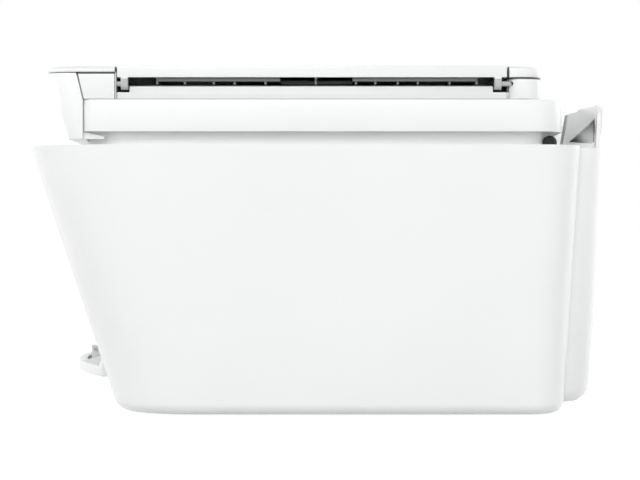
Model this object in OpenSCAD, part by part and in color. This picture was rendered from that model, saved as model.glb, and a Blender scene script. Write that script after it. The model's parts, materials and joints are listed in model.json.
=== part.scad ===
/* [Scanner] */
// Clear length of the scanning window
window_l = 302; // [297:1:330]
// Clear width of the scanning window
window_w = 218; // [210:1:240]
// From the window's left end to the left side of the rim: room for the feeder
left_margin = 102; // [98:1:112]
// From the window's right end to the right side of the rim
right_margin = 24; // [22:1:30]
// From the window's front edge to the front of the rim: room for the fascia
front_margin = 56; // [54:1:64]
// From the window's rear edge to the back of the rear cover
rear_margin = 58; // [56:1:66]
// Height of the scanner tub
tub_h = 18; // [17:0.5:22]
// Step from the rim to each side of the scanner tub
tub_inset = 9; // [6:0.5:10]

/* [Case] */
// Height of the case rim above the table
rim_z = 155; // [150:1:170]
// Height of the rubber feet
foot_h = 1.6; // [1:0.2:3]
// Wall thickness of the moulded covers
wall = 2.5; // [2:0.1:3]
// How far each side wall leans in from rim to bottom
side_lean = 16; // [12:1:18]
// How far the front wall leans in from rim to bottom
front_lean = 48; // [40:1:50]
// How far the main rear wall leans in from rim to bottom
rear_lean = 8; // [4:1:10]
// Plan radius of the front corners
front_r = 45; // [30:1:50]
// Plan radius of the rear corners
rear_r = 22; // [16:1:26]
// Radius of the rounded bottom edge
bottom_r = 7; // [4:0.5:9]
// Depth of the rear cover behind the main rear wall
bulge_d = 18.5; // [17:0.5:24]
// How far each side of the rear cover steps in from the case side
bulge_inset = 21; // [16:1:28]
// Height of the recess between the rim and the scanner tub
recess_h = 8; // [6:0.5:10]

/* [Document feeder] */
// Height of the closed lid above the scanner tub
lid_h = 19; // [19:0.5:24]
// Width of the document tray flap
flap_w = 219.6; // [216:0.2:222]
// Thickness of the document tray flap
flap_t = 6.5; // [5.5:0.5:7]
// Thickness of the front cap
cap_t = 3.5; // [3:0.5:4]
// Plan radius of the feeder's front corners
feeder_r = 10; // [8:1:16]

/* [Paper handling] */
// Width of the output tray
tray_w = 230; // [222:1:236]
// Radius of the feed roller
feed_r = 6; // [5:0.5:6]
// Radius of the exit roller
exit_r = 4.5; // [4:0.25:5]
// Radius of the rubber pick rollers
pick_r = 14; // [12:0.5:15]
// Radius of the push buttons
button_r = 5; // [4:0.25:5.5]

/* [Hidden] */
$fn = 48;
white = [0.94, 0.95, 0.95];
grey = [0.72, 0.74, 0.75];
dark = [0.25, 0.26, 0.27];
steel = [0.7, 0.71, 0.73];

gap = 0.4;                 // clearance between a piece and its seat
run = 0.3;                 // radial clearance of a shaft in its hole
service_w = 70;            // room beside the paper for the service station and the electronics
plate_gap = 19;            // from a chassis side plate to the side of the scanner tub
flap_lap = 1.6;            // the document tray flap's extra width over a window as wide
// As wide as the scanner or the print engine needs, and as deep as the window or the flap needs
case_w = max(left_margin + window_l + right_margin, tray_w + 2 * (1 + service_w + plate_gap + tub_inset));
case_d = front_margin + max(window_w, flap_w - flap_lap) + rear_margin;
floor_z = foot_h;          // underside of the case
case_h = rim_z - floor_z;
tub_z = rim_z + recess_h;  // underside of the scanner tub
seam_h = 0.6;               // open seam under the feeder's two caps
glass_z = tub_z + tub_h;   // top face of the scanner tub
total_h = glass_z + lid_h;
hw_top = case_w / 2;
bay_w = tray_w + 6;        // width of the output bay
tub_hw = hw_top - tub_inset;
side_plate_x = tub_hw - plate_gap;   // outer faces of the chassis plates
mid_plate_x = tray_w / 2 + 1;
front_y = -case_d / 2;     // front of the rim
back_y = case_d / 2;       // back of the rear cover at the rim
case_yr = back_y - bulge_d; // rear wall of the case at the rim
rear_y = case_yr - 6.5;    // the engine and the scanner are laid out from here
lean = atan(front_lean / case_h);

function mix(a, b, t) = a + (b - a) * t;
// Points of one corner arc, counter-clockwise from angle a
function corner(x, y, r, a, n) = [for (i = [0:n]) [x + r * cos(a + 90 * i / n), y + r * sin(a + 90 * i / n)]];
// Rounded rectangle: half width, front, rear, front and rear corner radii
function outline(hw, yf, yr, rf, rr, n = 12) = concat(
    corner(hw - rr, yr - rr, rr, 0, n),
    corner(-hw + rr, yr - rr, rr, 90, n),
    corner(-hw + rf, yf + rf, rf, 180, n),
    corner(hw - rf, yf + rf, rf, 270, n));
// Solid through a list of [height, outline] sections with equal point counts
module loft(sections) {
    n = len(sections[0][1]);
    last = len(sections) - 1;
    points = [for (s = sections) for (p = s[1]) [p[0], p[1], s[0]]];
    sides = [for (i = [0:last - 1]) for (j = [0:n - 1]) let (a = i * n + j, b = i * n + (j + 1) % n)
        each [[a, a + n, b + n], [a, b + n, b]]];
    polyhedron(points, concat([[for (j = [0:n - 1]) j]], sides, [[for (j = [0:n - 1]) last * n + n - 1 - j]]));
}
// Rectangle with true round corners
module rrect(x0, x1, y0, y1, r) {
    translate([x0 + r, y0]) square([x1 - x0 - 2 * r, y1 - y0]);
    translate([x0, y0 + r]) square([x1 - x0, y1 - y0 - 2 * r]);
    for (x = [x0 + r, x1 - r], y = [y0 + r, y1 - r]) translate([x, y]) circle(r);
}
module block(x0, x1, y0, y1, z0, z1) {
    translate([x0, y0, z0]) cube([x1 - x0, y1 - y0, z1 - z0]);
}
// Cylinder along X
module rod_x(x0, x1, y, z, r) {
    translate([x0, y, z]) rotate([0, 90, 0]) cylinder(r = r, h = x1 - x0);
}
// Cylinder along Y
module rod_y(y0, y1, x, z, r) {
    translate([x, y0, z]) rotate([-90, 0, 0]) cylinder(r = r, h = y1 - y0);
}
// Extrudes a profile drawn in Y and Z along X
module along_x(x0, x1) {
    translate([x0, 0, 0]) rotate([90, 0, 90]) linear_extrude(x1 - x0) children();
}
// Local frame of the leaning front wall: z runs up the slope, y inwards
module on_front() {
    translate([0, front_y + front_lean, floor_z]) rotate([lean, 0, 0]) children();
}

// ---- Case shape -------------------------------------------------------
function case_t(z) = (z - floor_z) / case_h;
function bottom_inset(z, r) = z < floor_z + r ? r - sqrt(max(0, r * r - pow(floor_z + r - z, 2))) : 0;
function case_outline(z, e) = let (t = case_t(z), f = e + bottom_inset(z - e, bottom_r))
    outline(mix(hw_top - side_lean, hw_top, t) - f,
        mix(front_y + front_lean, front_y, t) + f,
        mix(case_yr - rear_lean, case_yr, t) - f,
        front_r - f, rear_r - f);
case_steps = [for (a = [0:15:90]) bottom_r * (1 - cos(a))];
module case_solid(e, z0, z1) {
    heights = concat([for (s = case_steps) if (floor_z + e + s > z0 && floor_z + e + s < z1) floor_z + e + s], [z1]);
    loft([for (z = concat([z0], heights)) [z, case_outline(z, e)]]);
}
case_floor_z = floor_z + wall;  // inside of the case's bottom flange
pan_inset = 26;                 // width of the case's bottom flange
pan_t = 2.5;
bay_z0 = 14;                    // output bay, measured up the front slope
bay_z1 = 78;
door_z0 = 92;                   // cartridge door, measured up the front slope
door_z1 = 152;
door_hw = bay_w / 2;
door_seam = 1.2;
opening_z0 = 46;                // opening in the rear wall for the paper
opening_hw = hw_top - 44;

module outer_case() {
    color(white) difference() {
        case_solid(0, floor_z, rim_z);
        case_solid(wall, case_floor_z, rim_z + 1);
        translate([0, 0, floor_z - 1]) linear_extrude(wall + 2)
            rrect(-hw_top + side_lean + pan_inset, hw_top - side_lean - pan_inset,
                front_y + front_lean + pan_inset, case_yr - rear_lean - pan_inset, 12);
        on_front() block(-bay_w / 2, bay_w / 2, -8, 2 * wall, bay_z0, bay_z1);
        on_front() block(-door_hw - door_seam, door_hw + door_seam, -8, 2 * wall,
            door_z0 - gap, door_z1 + door_seam);
        block(-opening_hw, opening_hw, rear_y - 3 * wall, case_yr + wall, opening_z0, rim_z + 1);
        for (x = [-1, 1]) block(x * port_x - port_w / 2, x * port_x + port_w / 2,
            rear_y - 4 * wall, case_yr + wall, port_z, port_z + port_h);
        for (p = screws) translate([p[0], p[1], floor_z - 1]) {
            cylinder(r = 1.7, h = wall + 2);
            cylinder(r = 3.4, h = 2.6);
        }
    }
}
port_x = side_plate_x - 48;   // power inlet and data port come out through the rear cover
port_w = 24;
port_z = 22;
port_h = 15;

// Bottom plate with stiffening ribs, screw bosses and foot seats
foot_x = hw_top - 94;
foot_yf = front_y + 88;
foot_yr = rear_y - 45;
foot_r = 8;
rib_h = 3;                      // stiffening ribs under the chassis
rib_hw = 1;
rib_pitch = (hw_top - 114) / 2;
pan_z = case_floor_z;
module base_pan() {
    color(white) {
        difference() {
            union() {
                loft([for (z = [pan_z, pan_z + pan_t]) [z, case_outline(z, wall + gap + bottom_r)]]);
                translate([0, 0, floor_z]) linear_extrude(wall)
                    rrect(-hw_top + side_lean + pan_inset + gap, hw_top - side_lean - pan_inset - gap,
                        front_y + front_lean + pan_inset + gap, case_yr - rear_lean - pan_inset - gap, 12 - gap);
            }
            for (x = [-foot_x, foot_x], y = [foot_yf, foot_yr])
                translate([x, y, floor_z - 1]) cylinder(r = foot_r, h = 1 + 1);
            for (p = screws) translate([p[0], p[1], floor_z]) cylinder(r = 1.4, h = 9);
        }
        for (i = [-2:2]) block(i * rib_pitch - rib_hw, i * rib_pitch + rib_hw, rear_y - 101, rear_y - 41,
            pan_z + pan_t, pan_z + pan_t + rib_h);
    }
}
module rubber_feet() {
    color(dark) for (x = [-foot_x, foot_x], y = [foot_yf, foot_yr])
        translate([x, y, 0]) {
            cylinder(r = foot_r - gap, h = floor_z + 1);
        }
}

// Rear cover: the stepped-in shell that houses the paper chute
bulge_hw = hw_top - bulge_inset;
bulge_r = 24;
bulge_z = 7;
bulge_lean = 9;
module bulge_solid(e, z0, z1, open_front) {
    loft([for (z = concat([z0], [for (h = [1.5, 4, 8]) if (bulge_z + h > z0) bulge_z + h], [z1]))
        let (t = (z - bulge_z) / (rim_z - bulge_z), f = e + (z < bulge_z + 8 ? 6 * pow(1 - (z - bulge_z) / 8, 2) : 0))
        [z, outline(mix(bulge_hw - side_lean, bulge_hw, t) - f, rear_y - 30 - open_front,
            mix(back_y - bulge_lean, back_y, t) - f, 10, bulge_r - f)]]);
}
module rear_cover() {
    color(white) difference() {
        bulge_solid(0, bulge_z, rim_z - 0.6, 0);
        bulge_solid(wall, bulge_z + wall, rim_z + 1, 5);
        case_solid(-0.1, floor_z - 2, rim_z + 2);
        for (x = [-1, 1]) block(x * port_x - port_w / 2, x * port_x + port_w / 2,
            rear_y + 5, back_y, port_z, port_z + port_h);
    }
}

// ---- Deck between the case and the scanner -----------------------------
plinth_hw = tub_hw - 10;
plinth_yf = front_y + 31.4;
plinth_yr = rear_y - 9;
plinth_r = 22;
deck_z = rim_z - 6;
module top_deck() {
    color(white) difference() {
        union() {
            loft([for (z = [deck_z, deck_z + wall]) [z, case_outline(z, wall + gap)]]);
            translate([0, 0, deck_z]) linear_extrude(tub_z - deck_z)
                rrect(-plinth_hw, plinth_hw, plinth_yf, plinth_yr, plinth_r);
        }
        translate([0, 0, deck_z - 1]) linear_extrude(tub_z - deck_z + 2)
            rrect(-plinth_hw + wall, plinth_hw - wall, plinth_yf + wall, plinth_yr - wall, plinth_r - wall);
        // clear of the paper input
        block(-opening_hw, opening_hw, rear_y - wall, case_yr + 1, deck_z - 1, deck_z + wall + 1);
    }
}

// ---- Output bay and cartridge door ---------------------------------------
bezel_t = 2;
bay_yr = -29;                  // rear end of the bay's side walls
bay_floor_z = 14.6;
seat_y = wall * cos(lean);      // inner face of the leaning front wall
bay_top_z = 72;
hinge_y = 5.5;                 // door hinge, inwards from the front face
hinge_z = door_z0 + hinge_y;
pin_r = 1.2;
ear_x = door_hw - 14;
ear_t = 4;
ear_r = 2.7;
arm_y = 6;
function front_at(z) = front_y + front_lean - (z - floor_z) * tan(lean);
// Mirrored pair about the middle
module both() {
    children();
    mirror([1, 0, 0]) children();
}
module front_bezel() {
    color(dark) {
        on_front() difference() {
            block(-bay_w / 2 - 4, bay_w / 2 + 4, seat_y, seat_y + bezel_t, bay_z0 - 4, bay_z1 + 4);
            block(-bay_w / 2 + gap, bay_w / 2 - gap, 0, 2 * wall + bezel_t, bay_z0 + 1, bay_z1 - 1);
        }
        both() {
            along_x(bay_w / 2, bay_w / 2 + bezel_t) polygon([
                [front_at(bay_floor_z) + 5, bay_floor_z], [front_at(bay_top_z) + 5, bay_top_z],
                [bay_yr, bay_top_z], [bay_yr, bay_floor_z]]);
            // rail under the output tray
            along_x(bay_w / 2 - 14, bay_w / 2 + 0.1) polygon([
                [front_at(bay_floor_z) + 5, bay_floor_z], [front_at(bay_floor_z) + 5, tray_z0 - gap],
                [bay_yr, tray_z0 - gap], [bay_yr, bay_floor_z]]);
            on_front() difference() {
                union() {
                    rod_x(ear_x - ear_t / 2, ear_x + ear_t / 2, hinge_y, hinge_z, ear_r);
                    block(ear_x - ear_t / 2, ear_x + ear_t / 2, hinge_y, hinge_y + arm_y, hinge_z - ear_r, hinge_z + ear_r);
                    block(ear_x - ear_t / 2, ear_x + ear_t / 2, hinge_y + 2, hinge_y + arm_y, bay_z1, hinge_z);
                    block(ear_x - ear_t / 2, ear_x + ear_t / 2, seat_y, hinge_y + arm_y, bay_z1, bay_z1 + 4);
                }
                rod_x(ear_x - ear_t, ear_x + ear_t, hinge_y, hinge_z, pin_r + run);
            }
        }
    }
}
// Fold-down door over the cartridges, with a rolled lower edge round its pins
lug_t = 2;
module cartridge_door() {
    color(white) on_front() {
        difference() {
            union() {
                block(-door_hw, door_hw, 0, wall, hinge_z, door_z1);
                difference() {
                    rod_x(-door_hw, door_hw, hinge_y, hinge_z, hinge_y);
                    rod_x(-door_hw - 1, door_hw + 1, hinge_y, hinge_z, hinge_y - wall);
                    block(-door_hw - 1, door_hw + 1, hinge_y, 2 * hinge_y + 1, 0, door_z1);
                    block(-door_hw - 1, door_hw + 1, -1, 2 * hinge_y + 1, hinge_z, door_z1);
                }
            }
            both() block(ear_x - ear_t / 2 - gap, ear_x + ear_t / 2 + gap, -1, 3 * hinge_y, 0, hinge_z + ear_r + gap);
        }
        both() {
            rod_x(ear_x + ear_t / 2 + gap, ear_x + ear_t / 2 + gap + lug_t, hinge_y, hinge_z, hinge_y - wall / 2);
            rod_x(ear_x - ear_t / 2 - 1, ear_x + ear_t / 2 + gap + lug_t, hinge_y, hinge_z, pin_r);
        }
        for (x = [-90:45:90]) block(x - 0.6, x + 0.6, wall, wall + 2, hinge_z + 4, door_z1 - 3);
    }
}
// Output tray with a bowed front lip
tray_z0 = 17.4;
tray_z1 = 30.4;
tray_yf = -162;
tray_yr = -34;
tray_bow_r = 258;
lip_t = 5;
tray_corner = 12;
module tray_plan(e) {
    intersection() {
        translate([0, tray_yf + tray_bow_r]) circle(tray_bow_r - e, $fn = 200);
        rrect(-tray_w / 2 + e, tray_w / 2 - e, tray_yf - 20, tray_yr + (e > 0 ? 1 : 0), tray_corner);
    }
}
catch_hw = 45;
catch_y = tray_yf + lip_t + 10;   // pivot of the paper catch
catch_z = tray_z1 + 0.4;
catch_t = 2.4;
catch_l = 43;
module output_tray() {
    color(white) {
        difference() {
            translate([0, 0, tray_z0]) linear_extrude(tray_z1 - tray_z0) tray_plan(0);
            translate([0, 0, tray_z0 + wall]) linear_extrude(tray_z1) tray_plan(lip_t);
            block(-tray_w, tray_w, -120, tray_yr + 1, tray_z0 + wall + 2, tray_z1 + 1);
        }
        for (x = [-95:38:95]) block(x - 0.75, x + 0.75, -118, tray_yr - 2, tray_z0 + wall, tray_z0 + wall + 2);
        both() difference() {
            block(catch_hw + gap, catch_hw + gap + 3, catch_y - 3, catch_y + 3, tray_z0 + wall, catch_z + 2.2);
            rod_x(catch_hw, catch_hw + 4, catch_y, catch_z, pin_r + run);
        }
    }
}
module tray_catch() {
    color(grey) {
        difference() {
            block(-catch_hw, catch_hw, catch_y - 2, catch_y + catch_l, catch_z - catch_t, catch_z);
            rod_y(catch_y + catch_l - 14, catch_y + catch_l + 1, 0, catch_z + 1, 9);
        }
        rod_x(-catch_hw - 3, catch_hw + 3, catch_y, catch_z, pin_r);
        rod_x(-catch_hw, catch_hw, catch_y, catch_z - catch_t / 2, catch_t / 2 + 0.8);
    }
}

// ---- Scanner unit --------------------------------------------------------
tub_yf = front_y + 31;
tub_yr = rear_y - 3.5;
tub_r = 18;
tub_floor = 2;
bezel_plate = 2.5;
bezel_yr = rear_y - 29;               // the lid hinge sits behind this edge
window_x0 = left_margin - hw_top;  // left end of the scanning window
window_yf = front_y + front_margin;
strip_x0 = window_x0 - 40;      // narrow window of the document feeder
strip_x1 = strip_x0 + 16;
glass_t = 2;
scan_z = tub_z + 6;                 // axis of the scan head's guide rod
scan_y = 0;
scan_rod_r = 2.5;
saddle_x0 = strip_x0 - 26;
saddle_x1 = window_x0 + window_l + 6;
lid_axis_y = rear_y - 20;
lid_axis_z = glass_z + 4;
lid_ear_x = tub_hw - 65;
lid_ear_t = 6;
lid_pin_r = 2.5;
module scanner_tub() {
    color(white) {
        difference() {
            translate([0, 0, tub_z]) linear_extrude(glass_z - tub_z) rrect(-tub_hw, tub_hw, tub_yf, tub_yr, tub_r);
            translate([0, 0, tub_z + tub_floor]) linear_extrude(glass_z)
                rrect(-tub_hw + wall, tub_hw - wall, tub_yf + wall, tub_yr - wall, tub_r - wall);
        }
        // hinge posts behind the glass frame
        both() difference() {
            union() {
                for (x = [-1, 1]) block(lid_ear_x + x * (lid_ear_t + gap) - lid_ear_t / 2 + 1,
                    lid_ear_x + x * (lid_ear_t + gap) + lid_ear_t / 2 - 1,
                    bezel_yr + 3, tub_yr - wall, tub_z + tub_floor, glass_z - 4);
                for (x = [-1, 1]) block(lid_ear_x + x * (lid_ear_t + gap) - lid_ear_t / 2 + 1,
                    lid_ear_x + x * (lid_ear_t + gap) + lid_ear_t / 2 - 1,
                    lid_axis_y - 4, lid_axis_y + 4, glass_z - 4, lid_axis_z);
                for (x = [-1, 1]) rod_x(lid_ear_x + x * (lid_ear_t + gap) - lid_ear_t / 2 + 1,
                    lid_ear_x + x * (lid_ear_t + gap) + lid_ear_t / 2 - 1, lid_axis_y, lid_axis_z, 4);
            }
            rod_x(lid_ear_x - 3 * lid_ear_t, lid_ear_x + 3 * lid_ear_t, lid_axis_y, lid_axis_z, lid_pin_r + run);
        }
        // saddles of the scan head's guide rod
        for (x = [saddle_x0, saddle_x1]) difference() {
            block(x - 2, x + 2, scan_y - 6, scan_y + 6, tub_z + tub_floor, scan_z + 4);
            rod_x(x - 3, x + 3, scan_y, scan_z, scan_rod_r + 0.05);
        }
        // ledge under the glass frame
        for (y = [tub_yf + wall, bezel_yr - 2]) block(-tub_hw + 30, tub_hw - 30, y, y + 3, tub_z + tub_floor, glass_z - bezel_plate);
    }
}
module scanner_bezel() {
    color(dark) difference() {
        translate([0, 0, glass_z - bezel_plate]) linear_extrude(bezel_plate) difference() {
            rrect(-tub_hw + wall + gap, tub_hw - wall - gap, tub_yf + wall + gap, bezel_yr, tub_r - wall - gap);
            translate([window_x0, window_yf]) square([window_l, window_w]);
            translate([strip_x0, window_yf]) square([strip_x1 - strip_x0, window_w]);
        }
        // rebate under the opening where the glass is bonded
        block(window_x0 - 4, window_x0 + window_l + 4, window_yf - 4, window_yf + window_w + 2,
            glass_z - bezel_plate - 1, glass_z - 1);
        block(strip_x0 - 4, strip_x1 + 4, window_yf - 4, window_yf + window_w + 2,
            glass_z - bezel_plate - 1, glass_z - 1);
    }
}
module scanner_glass() {
    color([0.75, 0.85, 0.85, 0.5]) {
        block(window_x0 - 3.6, window_x0 + window_l + 3.6, window_yf - 3.6, window_yf + window_w + 1.6,
            glass_z - 1 - glass_t, glass_z - 1);
        block(strip_x0 - 3.6, strip_x1 + 3.6, window_yf - 3.6, window_yf + window_w + 1.6,
            glass_z - 1 - glass_t, glass_z - 1);
    }
}
module scan_rod() {
    color(steel) rod_x(saddle_x0 - 2, saddle_x1 + 2, scan_y, scan_z, scan_rod_r);
}
// Contact image sensor bar on its shoe; it parks under the narrow window
head_x = (strip_x0 + strip_x1) / 2;
head_w = 16;
module scan_head() {
    color(dark) difference() {
        union() {
            block(head_x - head_w / 2, head_x + head_w / 2, window_yf, window_yf + window_w - 2, scan_z + 4, glass_z - 1 - glass_t - 0.8);
            block(head_x - head_w / 2 - 4, head_x + head_w / 2 + 4, scan_y - 8, scan_y + 8, tub_z + tub_floor + 0.6, scan_z + 4.1);
        }
        rod_x(head_x - head_w, head_x + head_w, scan_y, scan_z, scan_rod_r + run);
        block(head_x - 3, head_x + 3, window_yf + 4, window_yf + window_w - 6, glass_z - 5, glass_z);
    }
}

// ---- Front fascia with the control panel ----------------------------------
fascia_z0 = tub_z - 4.2;
fascia_z1 = total_h - cap_t - seam_h;
fascia_yb = front_y + 23.6;             // front face at its lower edge
fascia_yt = front_y + 12.4;             // front face under the cap
fascia_lean = atan((fascia_yb - fascia_yt) / (fascia_z1 - fascia_z0));
seam_yt = front_y + 27;               // seam towards the lid, at the top
seam_yb = tub_yf - gap;         // seam towards the tub
fascia_t = 2.5;
function front_face(z) = mix(fascia_yb, fascia_yt, (z - fascia_z0) / (fascia_z1 - fascia_z0));
function fascia_outline(z, e) = outline(tub_hw - e, front_face(z) + e, 0, feeder_r - e, 10, 16);
module on_fascia() {
    translate([0, fascia_yb, fascia_z0]) rotate([fascia_lean, 0, 0]) children();
}
panel_x0 = 37 - tub_hw;
panel_x1 = panel_x0 + 178;
panel_z0 = 8;
panel_z1 = 31;
panel_t = 1.2;
display_x0 = panel_x0 + 18;
display_w = 30;
display_h = 15;
display_z = 12;
button_z = 19.5;
button_x = [for (x = [64, 84, 104, 134, 158]) panel_x0 + x];
module fascia_rear(e) {
    along_x(-tub_hw - 1, tub_hw + 1) polygon([[seam_yb - e, 0], [seam_yb - e, glass_z], [seam_yt - e, fascia_z1 + 0.01],
        [seam_yt - e, total_h + 5], [50, total_h + 5], [50, 0]]);
}
tongue_yr = front_y + 42.3;             // the fascia's lower corners reach under the tub as far as this
module front_fascia() {
    color(white) {
        both() along_x(tub_hw - 9.4, tub_hw - 5) polygon([[front_y + 27, fascia_z0], [front_y + 27, tub_z - gap],
            [front_y + 32.6, tub_z - gap], [tongue_yr, fascia_z0 + 1.4], [tongue_yr, fascia_z0]]);
        fascia_shell();
    }
}
module fascia_shell() {
    difference() {
        loft([for (z = [fascia_z0, fascia_z1]) [z, fascia_outline(z, 0)]]);
        difference() {
            loft([for (z = [fascia_z0 + fascia_t, fascia_z1 - 2]) [z, fascia_outline(z, fascia_t)]]);
            fascia_rear(2);
        }
        fascia_rear(0);
        block(-plinth_hw - gap, plinth_hw + gap, plinth_yf - gap, 0, 0, tub_z);
        on_fascia() block(panel_x0, panel_x1, -1, panel_t, panel_z0, panel_z1);
        on_fascia() block(display_x0 - 2, display_x0 + display_w + 2, -1, fascia_t + 1, display_z - 1, display_z + display_h + 1);
        on_fascia() for (x = button_x) translate([x, 0, button_z]) rotate([90, 0, 0]) cylinder(r = button_r + 2, h = 8, center = true);
    }
}
module control_panel() {
    color(grey) on_fascia() difference() {
        block(panel_x0 + 0.2, panel_x1 - 0.2, 0, panel_t, panel_z0 + 0.2, panel_z1 - 0.2);
        block(display_x0, display_x0 + display_w, -1, fascia_t, display_z, display_z + display_h);
        for (x = button_x) translate([x, 0, button_z]) rotate([90, 0, 0]) cylinder(r = button_r + run, h = 20, center = true);
    }
}
module display() {
    color([0.2, 0.25, 0.26]) on_fascia() {
        block(display_x0 + 0.2, display_x0 + display_w - 0.2, 0.3, fascia_t, display_z + 0.2, display_z + display_h - 0.2);
        block(display_x0 - 1.5, display_x0 + display_w + 1.5, fascia_t, fascia_t + 2, display_z - 0.8, display_z + display_h + 0.8);
    }
}
button_h = 0.8;                // how far a button stands proud
button_travel = 0.7;
module button(i) {
    color(white) on_fascia() translate([button_x[i], 0, button_z]) {
        rotate([90, 0, 0]) translate([0, 0, -fascia_t]) cylinder(r = button_r, h = fascia_t + button_h);
        rotate([90, 0, 0]) translate([0, 0, -panel_t - 1.2]) cylinder(r = button_r + 1, h = 1);
    }
}

// ---- Lid with the document feeder ------------------------------------------
lid_z0 = glass_z + 0.3;
lid_z1 = glass_z + 4;            // top of the lid's floor
pad_t = 1.3;
lid_yf = seam_yb + 2 * gap;
lid_front_top = total_h - cap_t; // the lid's front channel carries the front cap
lid_rear_top = total_h - flap_t; // the rear box carries the rear cap
flap_y0 = front_y + 50.2;
flap_y1 = flap_y0 + flap_w + 0.6;
lid_yr = rear_y - 17;
side_x = tub_hw;
pin_x = side_x - 3.5;                  // feeder hinge pins lie along Y
pin_z = lid_rear_top - 3.5;
feeder_pin_r = 1.5;
knuckle_r = 3.5;
roller_x = [strip_x1 + 11, strip_x0 + 2];
roller_z = lid_z1 + 4;
roller_r = 6;
roller_hl = 60;
lid_wall = 2;
module lid_frame() {
    // floor
    block(-side_x + 1, side_x - 1, lid_yf, flap_y1 + 2, lid_z0, lid_z1);
    // front channel
    difference() {
        along_x(-side_x, side_x) polygon([[lid_yf, lid_z0], [flap_y0 - 0.6, lid_z0], [flap_y0 - 0.6, lid_front_top],
            [seam_yt + 2 * gap, lid_front_top]]);
        along_x(-side_x + 12, side_x - 12) polygon([[lid_yf + lid_wall, lid_z1], [flap_y0 - 0.6 - lid_wall, lid_z1],
            [flap_y0 - 0.6 - lid_wall, lid_front_top + 1], [seam_yt + 2 * gap + lid_wall, lid_front_top + 1]]);
    }
    // rear box
    difference() {
        translate([0, 0, lid_z0]) linear_extrude(lid_rear_top - lid_z0)
            rrect(-side_x, side_x, flap_y1 + 0.6, lid_yr, 8);
        translate([0, 0, lid_z1]) linear_extrude(lid_rear_top)
            rrect(-side_x + lid_wall, side_x - lid_wall, flap_y1 + 0.6 + lid_wall, lid_yr - lid_wall, 6);
    }
    // end walls of the feeder
    block(side_x - 6, side_x - 4, flap_y0 + 6.6, flap_y1 - 7.6, lid_z1 - 0.1, lid_z1 + 3.9);
    // bearing blocks of the feeder rollers
    for (x = roller_x, y = [-roller_hl - 7, roller_hl + 4]) block(x - 4, x + 4, y, y + 3, lid_z1 - 0.1, roller_z + 4);
}
seam_in = 1.2;
module cap_seam(y0, y1, z) {
    difference() {
        block(-side_x - 1, side_x + 1, y0, y1, z - seam_h, z + 1);
        translate([0, 0, z - 2]) linear_extrude(4) rrect(-side_x + seam_in, side_x - seam_in, front_y, lid_yr - seam_in, 8 - seam_in);
    }
}
module lid_base() {
    color(white) {
        difference() {
            intersection() {
                lid_frame();
                loft([for (z = [lid_z0 - 1, total_h]) [z, outline(tub_hw, front_face(z), lid_yr + 1, feeder_r, 8, 16)]]);
            }
            block(roller_x[1] - 10, roller_x[0] + 9, -roller_hl - 2, roller_hl + 2, lid_z0 - 1, lid_z1 + 1);
            for (x = roller_x) rod_y(-80, 80, x, roller_z, 2 + run);
            for (x = [-pin_x, pin_x]) rod_y(flap_y0 - 4, flap_y1 + 4, x, pin_z, feeder_pin_r + run);
            both() block(lid_ear_x - 10, lid_ear_x + 10, lid_axis_y - 4.5, lid_yr + 1, lid_z0 - 1, lid_axis_z + 5.2);
            for (y = [guide_y0 - 0.5, guide_y1 - 63]) block(guide_x - 2, guide_x + 2, y, y + 63.5, glass_z + 1.9, lid_z1 + 1);
            // pocket for the pad
            translate([0, 0, lid_z0 - 1]) linear_extrude(glass_z + 0.2 + pad_t - lid_z0 + 1)
                rrect(window_x0 + 1.6, window_x0 + window_l + 0.4, window_yf - 0.4, window_yf + window_w - 3.6, 3);
            // seams under the two caps, and beside the flap
            cap_seam(flap_y1, lid_yr + 1, lid_rear_top);
            cap_seam(lid_yf - 20, flap_y0, lid_front_top);
            for (s = [-1, 1], y = [flap_y0 - 0.5, flap_y1 - 0.3])
                block(min(s * (side_x - 3), s * (side_x + 1)), max(s * (side_x - 3), s * (side_x + 1)), y, y + 0.8, lid_z0 - 1, lid_z1 + 1);
        }
        both() {
            rod_x(lid_ear_x - 3, lid_ear_x + 3, lid_axis_y, lid_axis_z, 4);
            block(lid_ear_x - 3, lid_ear_x + 3, lid_axis_y - 4, lid_yr, lid_axis_z, lid_axis_z + 6);
            rod_x(lid_ear_x - 8, lid_ear_x + 8, lid_axis_y, lid_axis_z, lid_pin_r);
        }
    }
}
module lid_pad() {
    color([0.97, 0.97, 0.97]) translate([0, 0, glass_z + 0.2]) linear_extrude(pad_t) rrect(window_x0 + 2, window_x0 + window_l,
        window_yf, window_yf + window_w - 4, 3);
}
cap_gap = 0.9;                 // between the flap and each cap
// Rounded upper edge of both caps: height and inset
cap_edge = [[lid_front_top, 0], [total_h - 2.4, 0], [total_h - 1.6, 0.3], [total_h - 0.9, 0.9], [total_h - 0.4, 2], [total_h, 4.5]];
function cap_plan(e) = outline(side_x - e, flap_y1 - 45, lid_yr + 1 - 2 * e, 5, 12 - e, 12);
module feeder_front_cap() {
    color(white) difference() {
        union() {
            loft([for (i = cap_edge) [i[0], outline(side_x - i[1], fascia_yt - 1 + 2 * i[1], flap_y0 + 50, feeder_r - i[1], 5, 20)]]);
        }
        block(-side_x - 1, side_x + 1, flap_y0 - cap_gap, 0, 0, total_h + 1);
        // hollow underside over the lid's channel
        block(-side_x + 4, side_x - 4, seam_yt + 4, flap_y0 - 4, 0, total_h - 2);
    }
}
module feeder_rear_cap() {
    color(white) difference() {
        loft(concat([[lid_rear_top, cap_plan(0)]], [for (i = cap_edge) if (i[0] > lid_rear_top) [i[0], cap_plan(i[1])]]));
        block(-side_x - 1, side_x + 1, 0, flap_y1 + cap_gap, 0, total_h + 1);
        block(-side_x + 8, side_x - 8, flap_y1 + 4, lid_yr - 4, 0, total_h - 2);
    }
}
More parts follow.
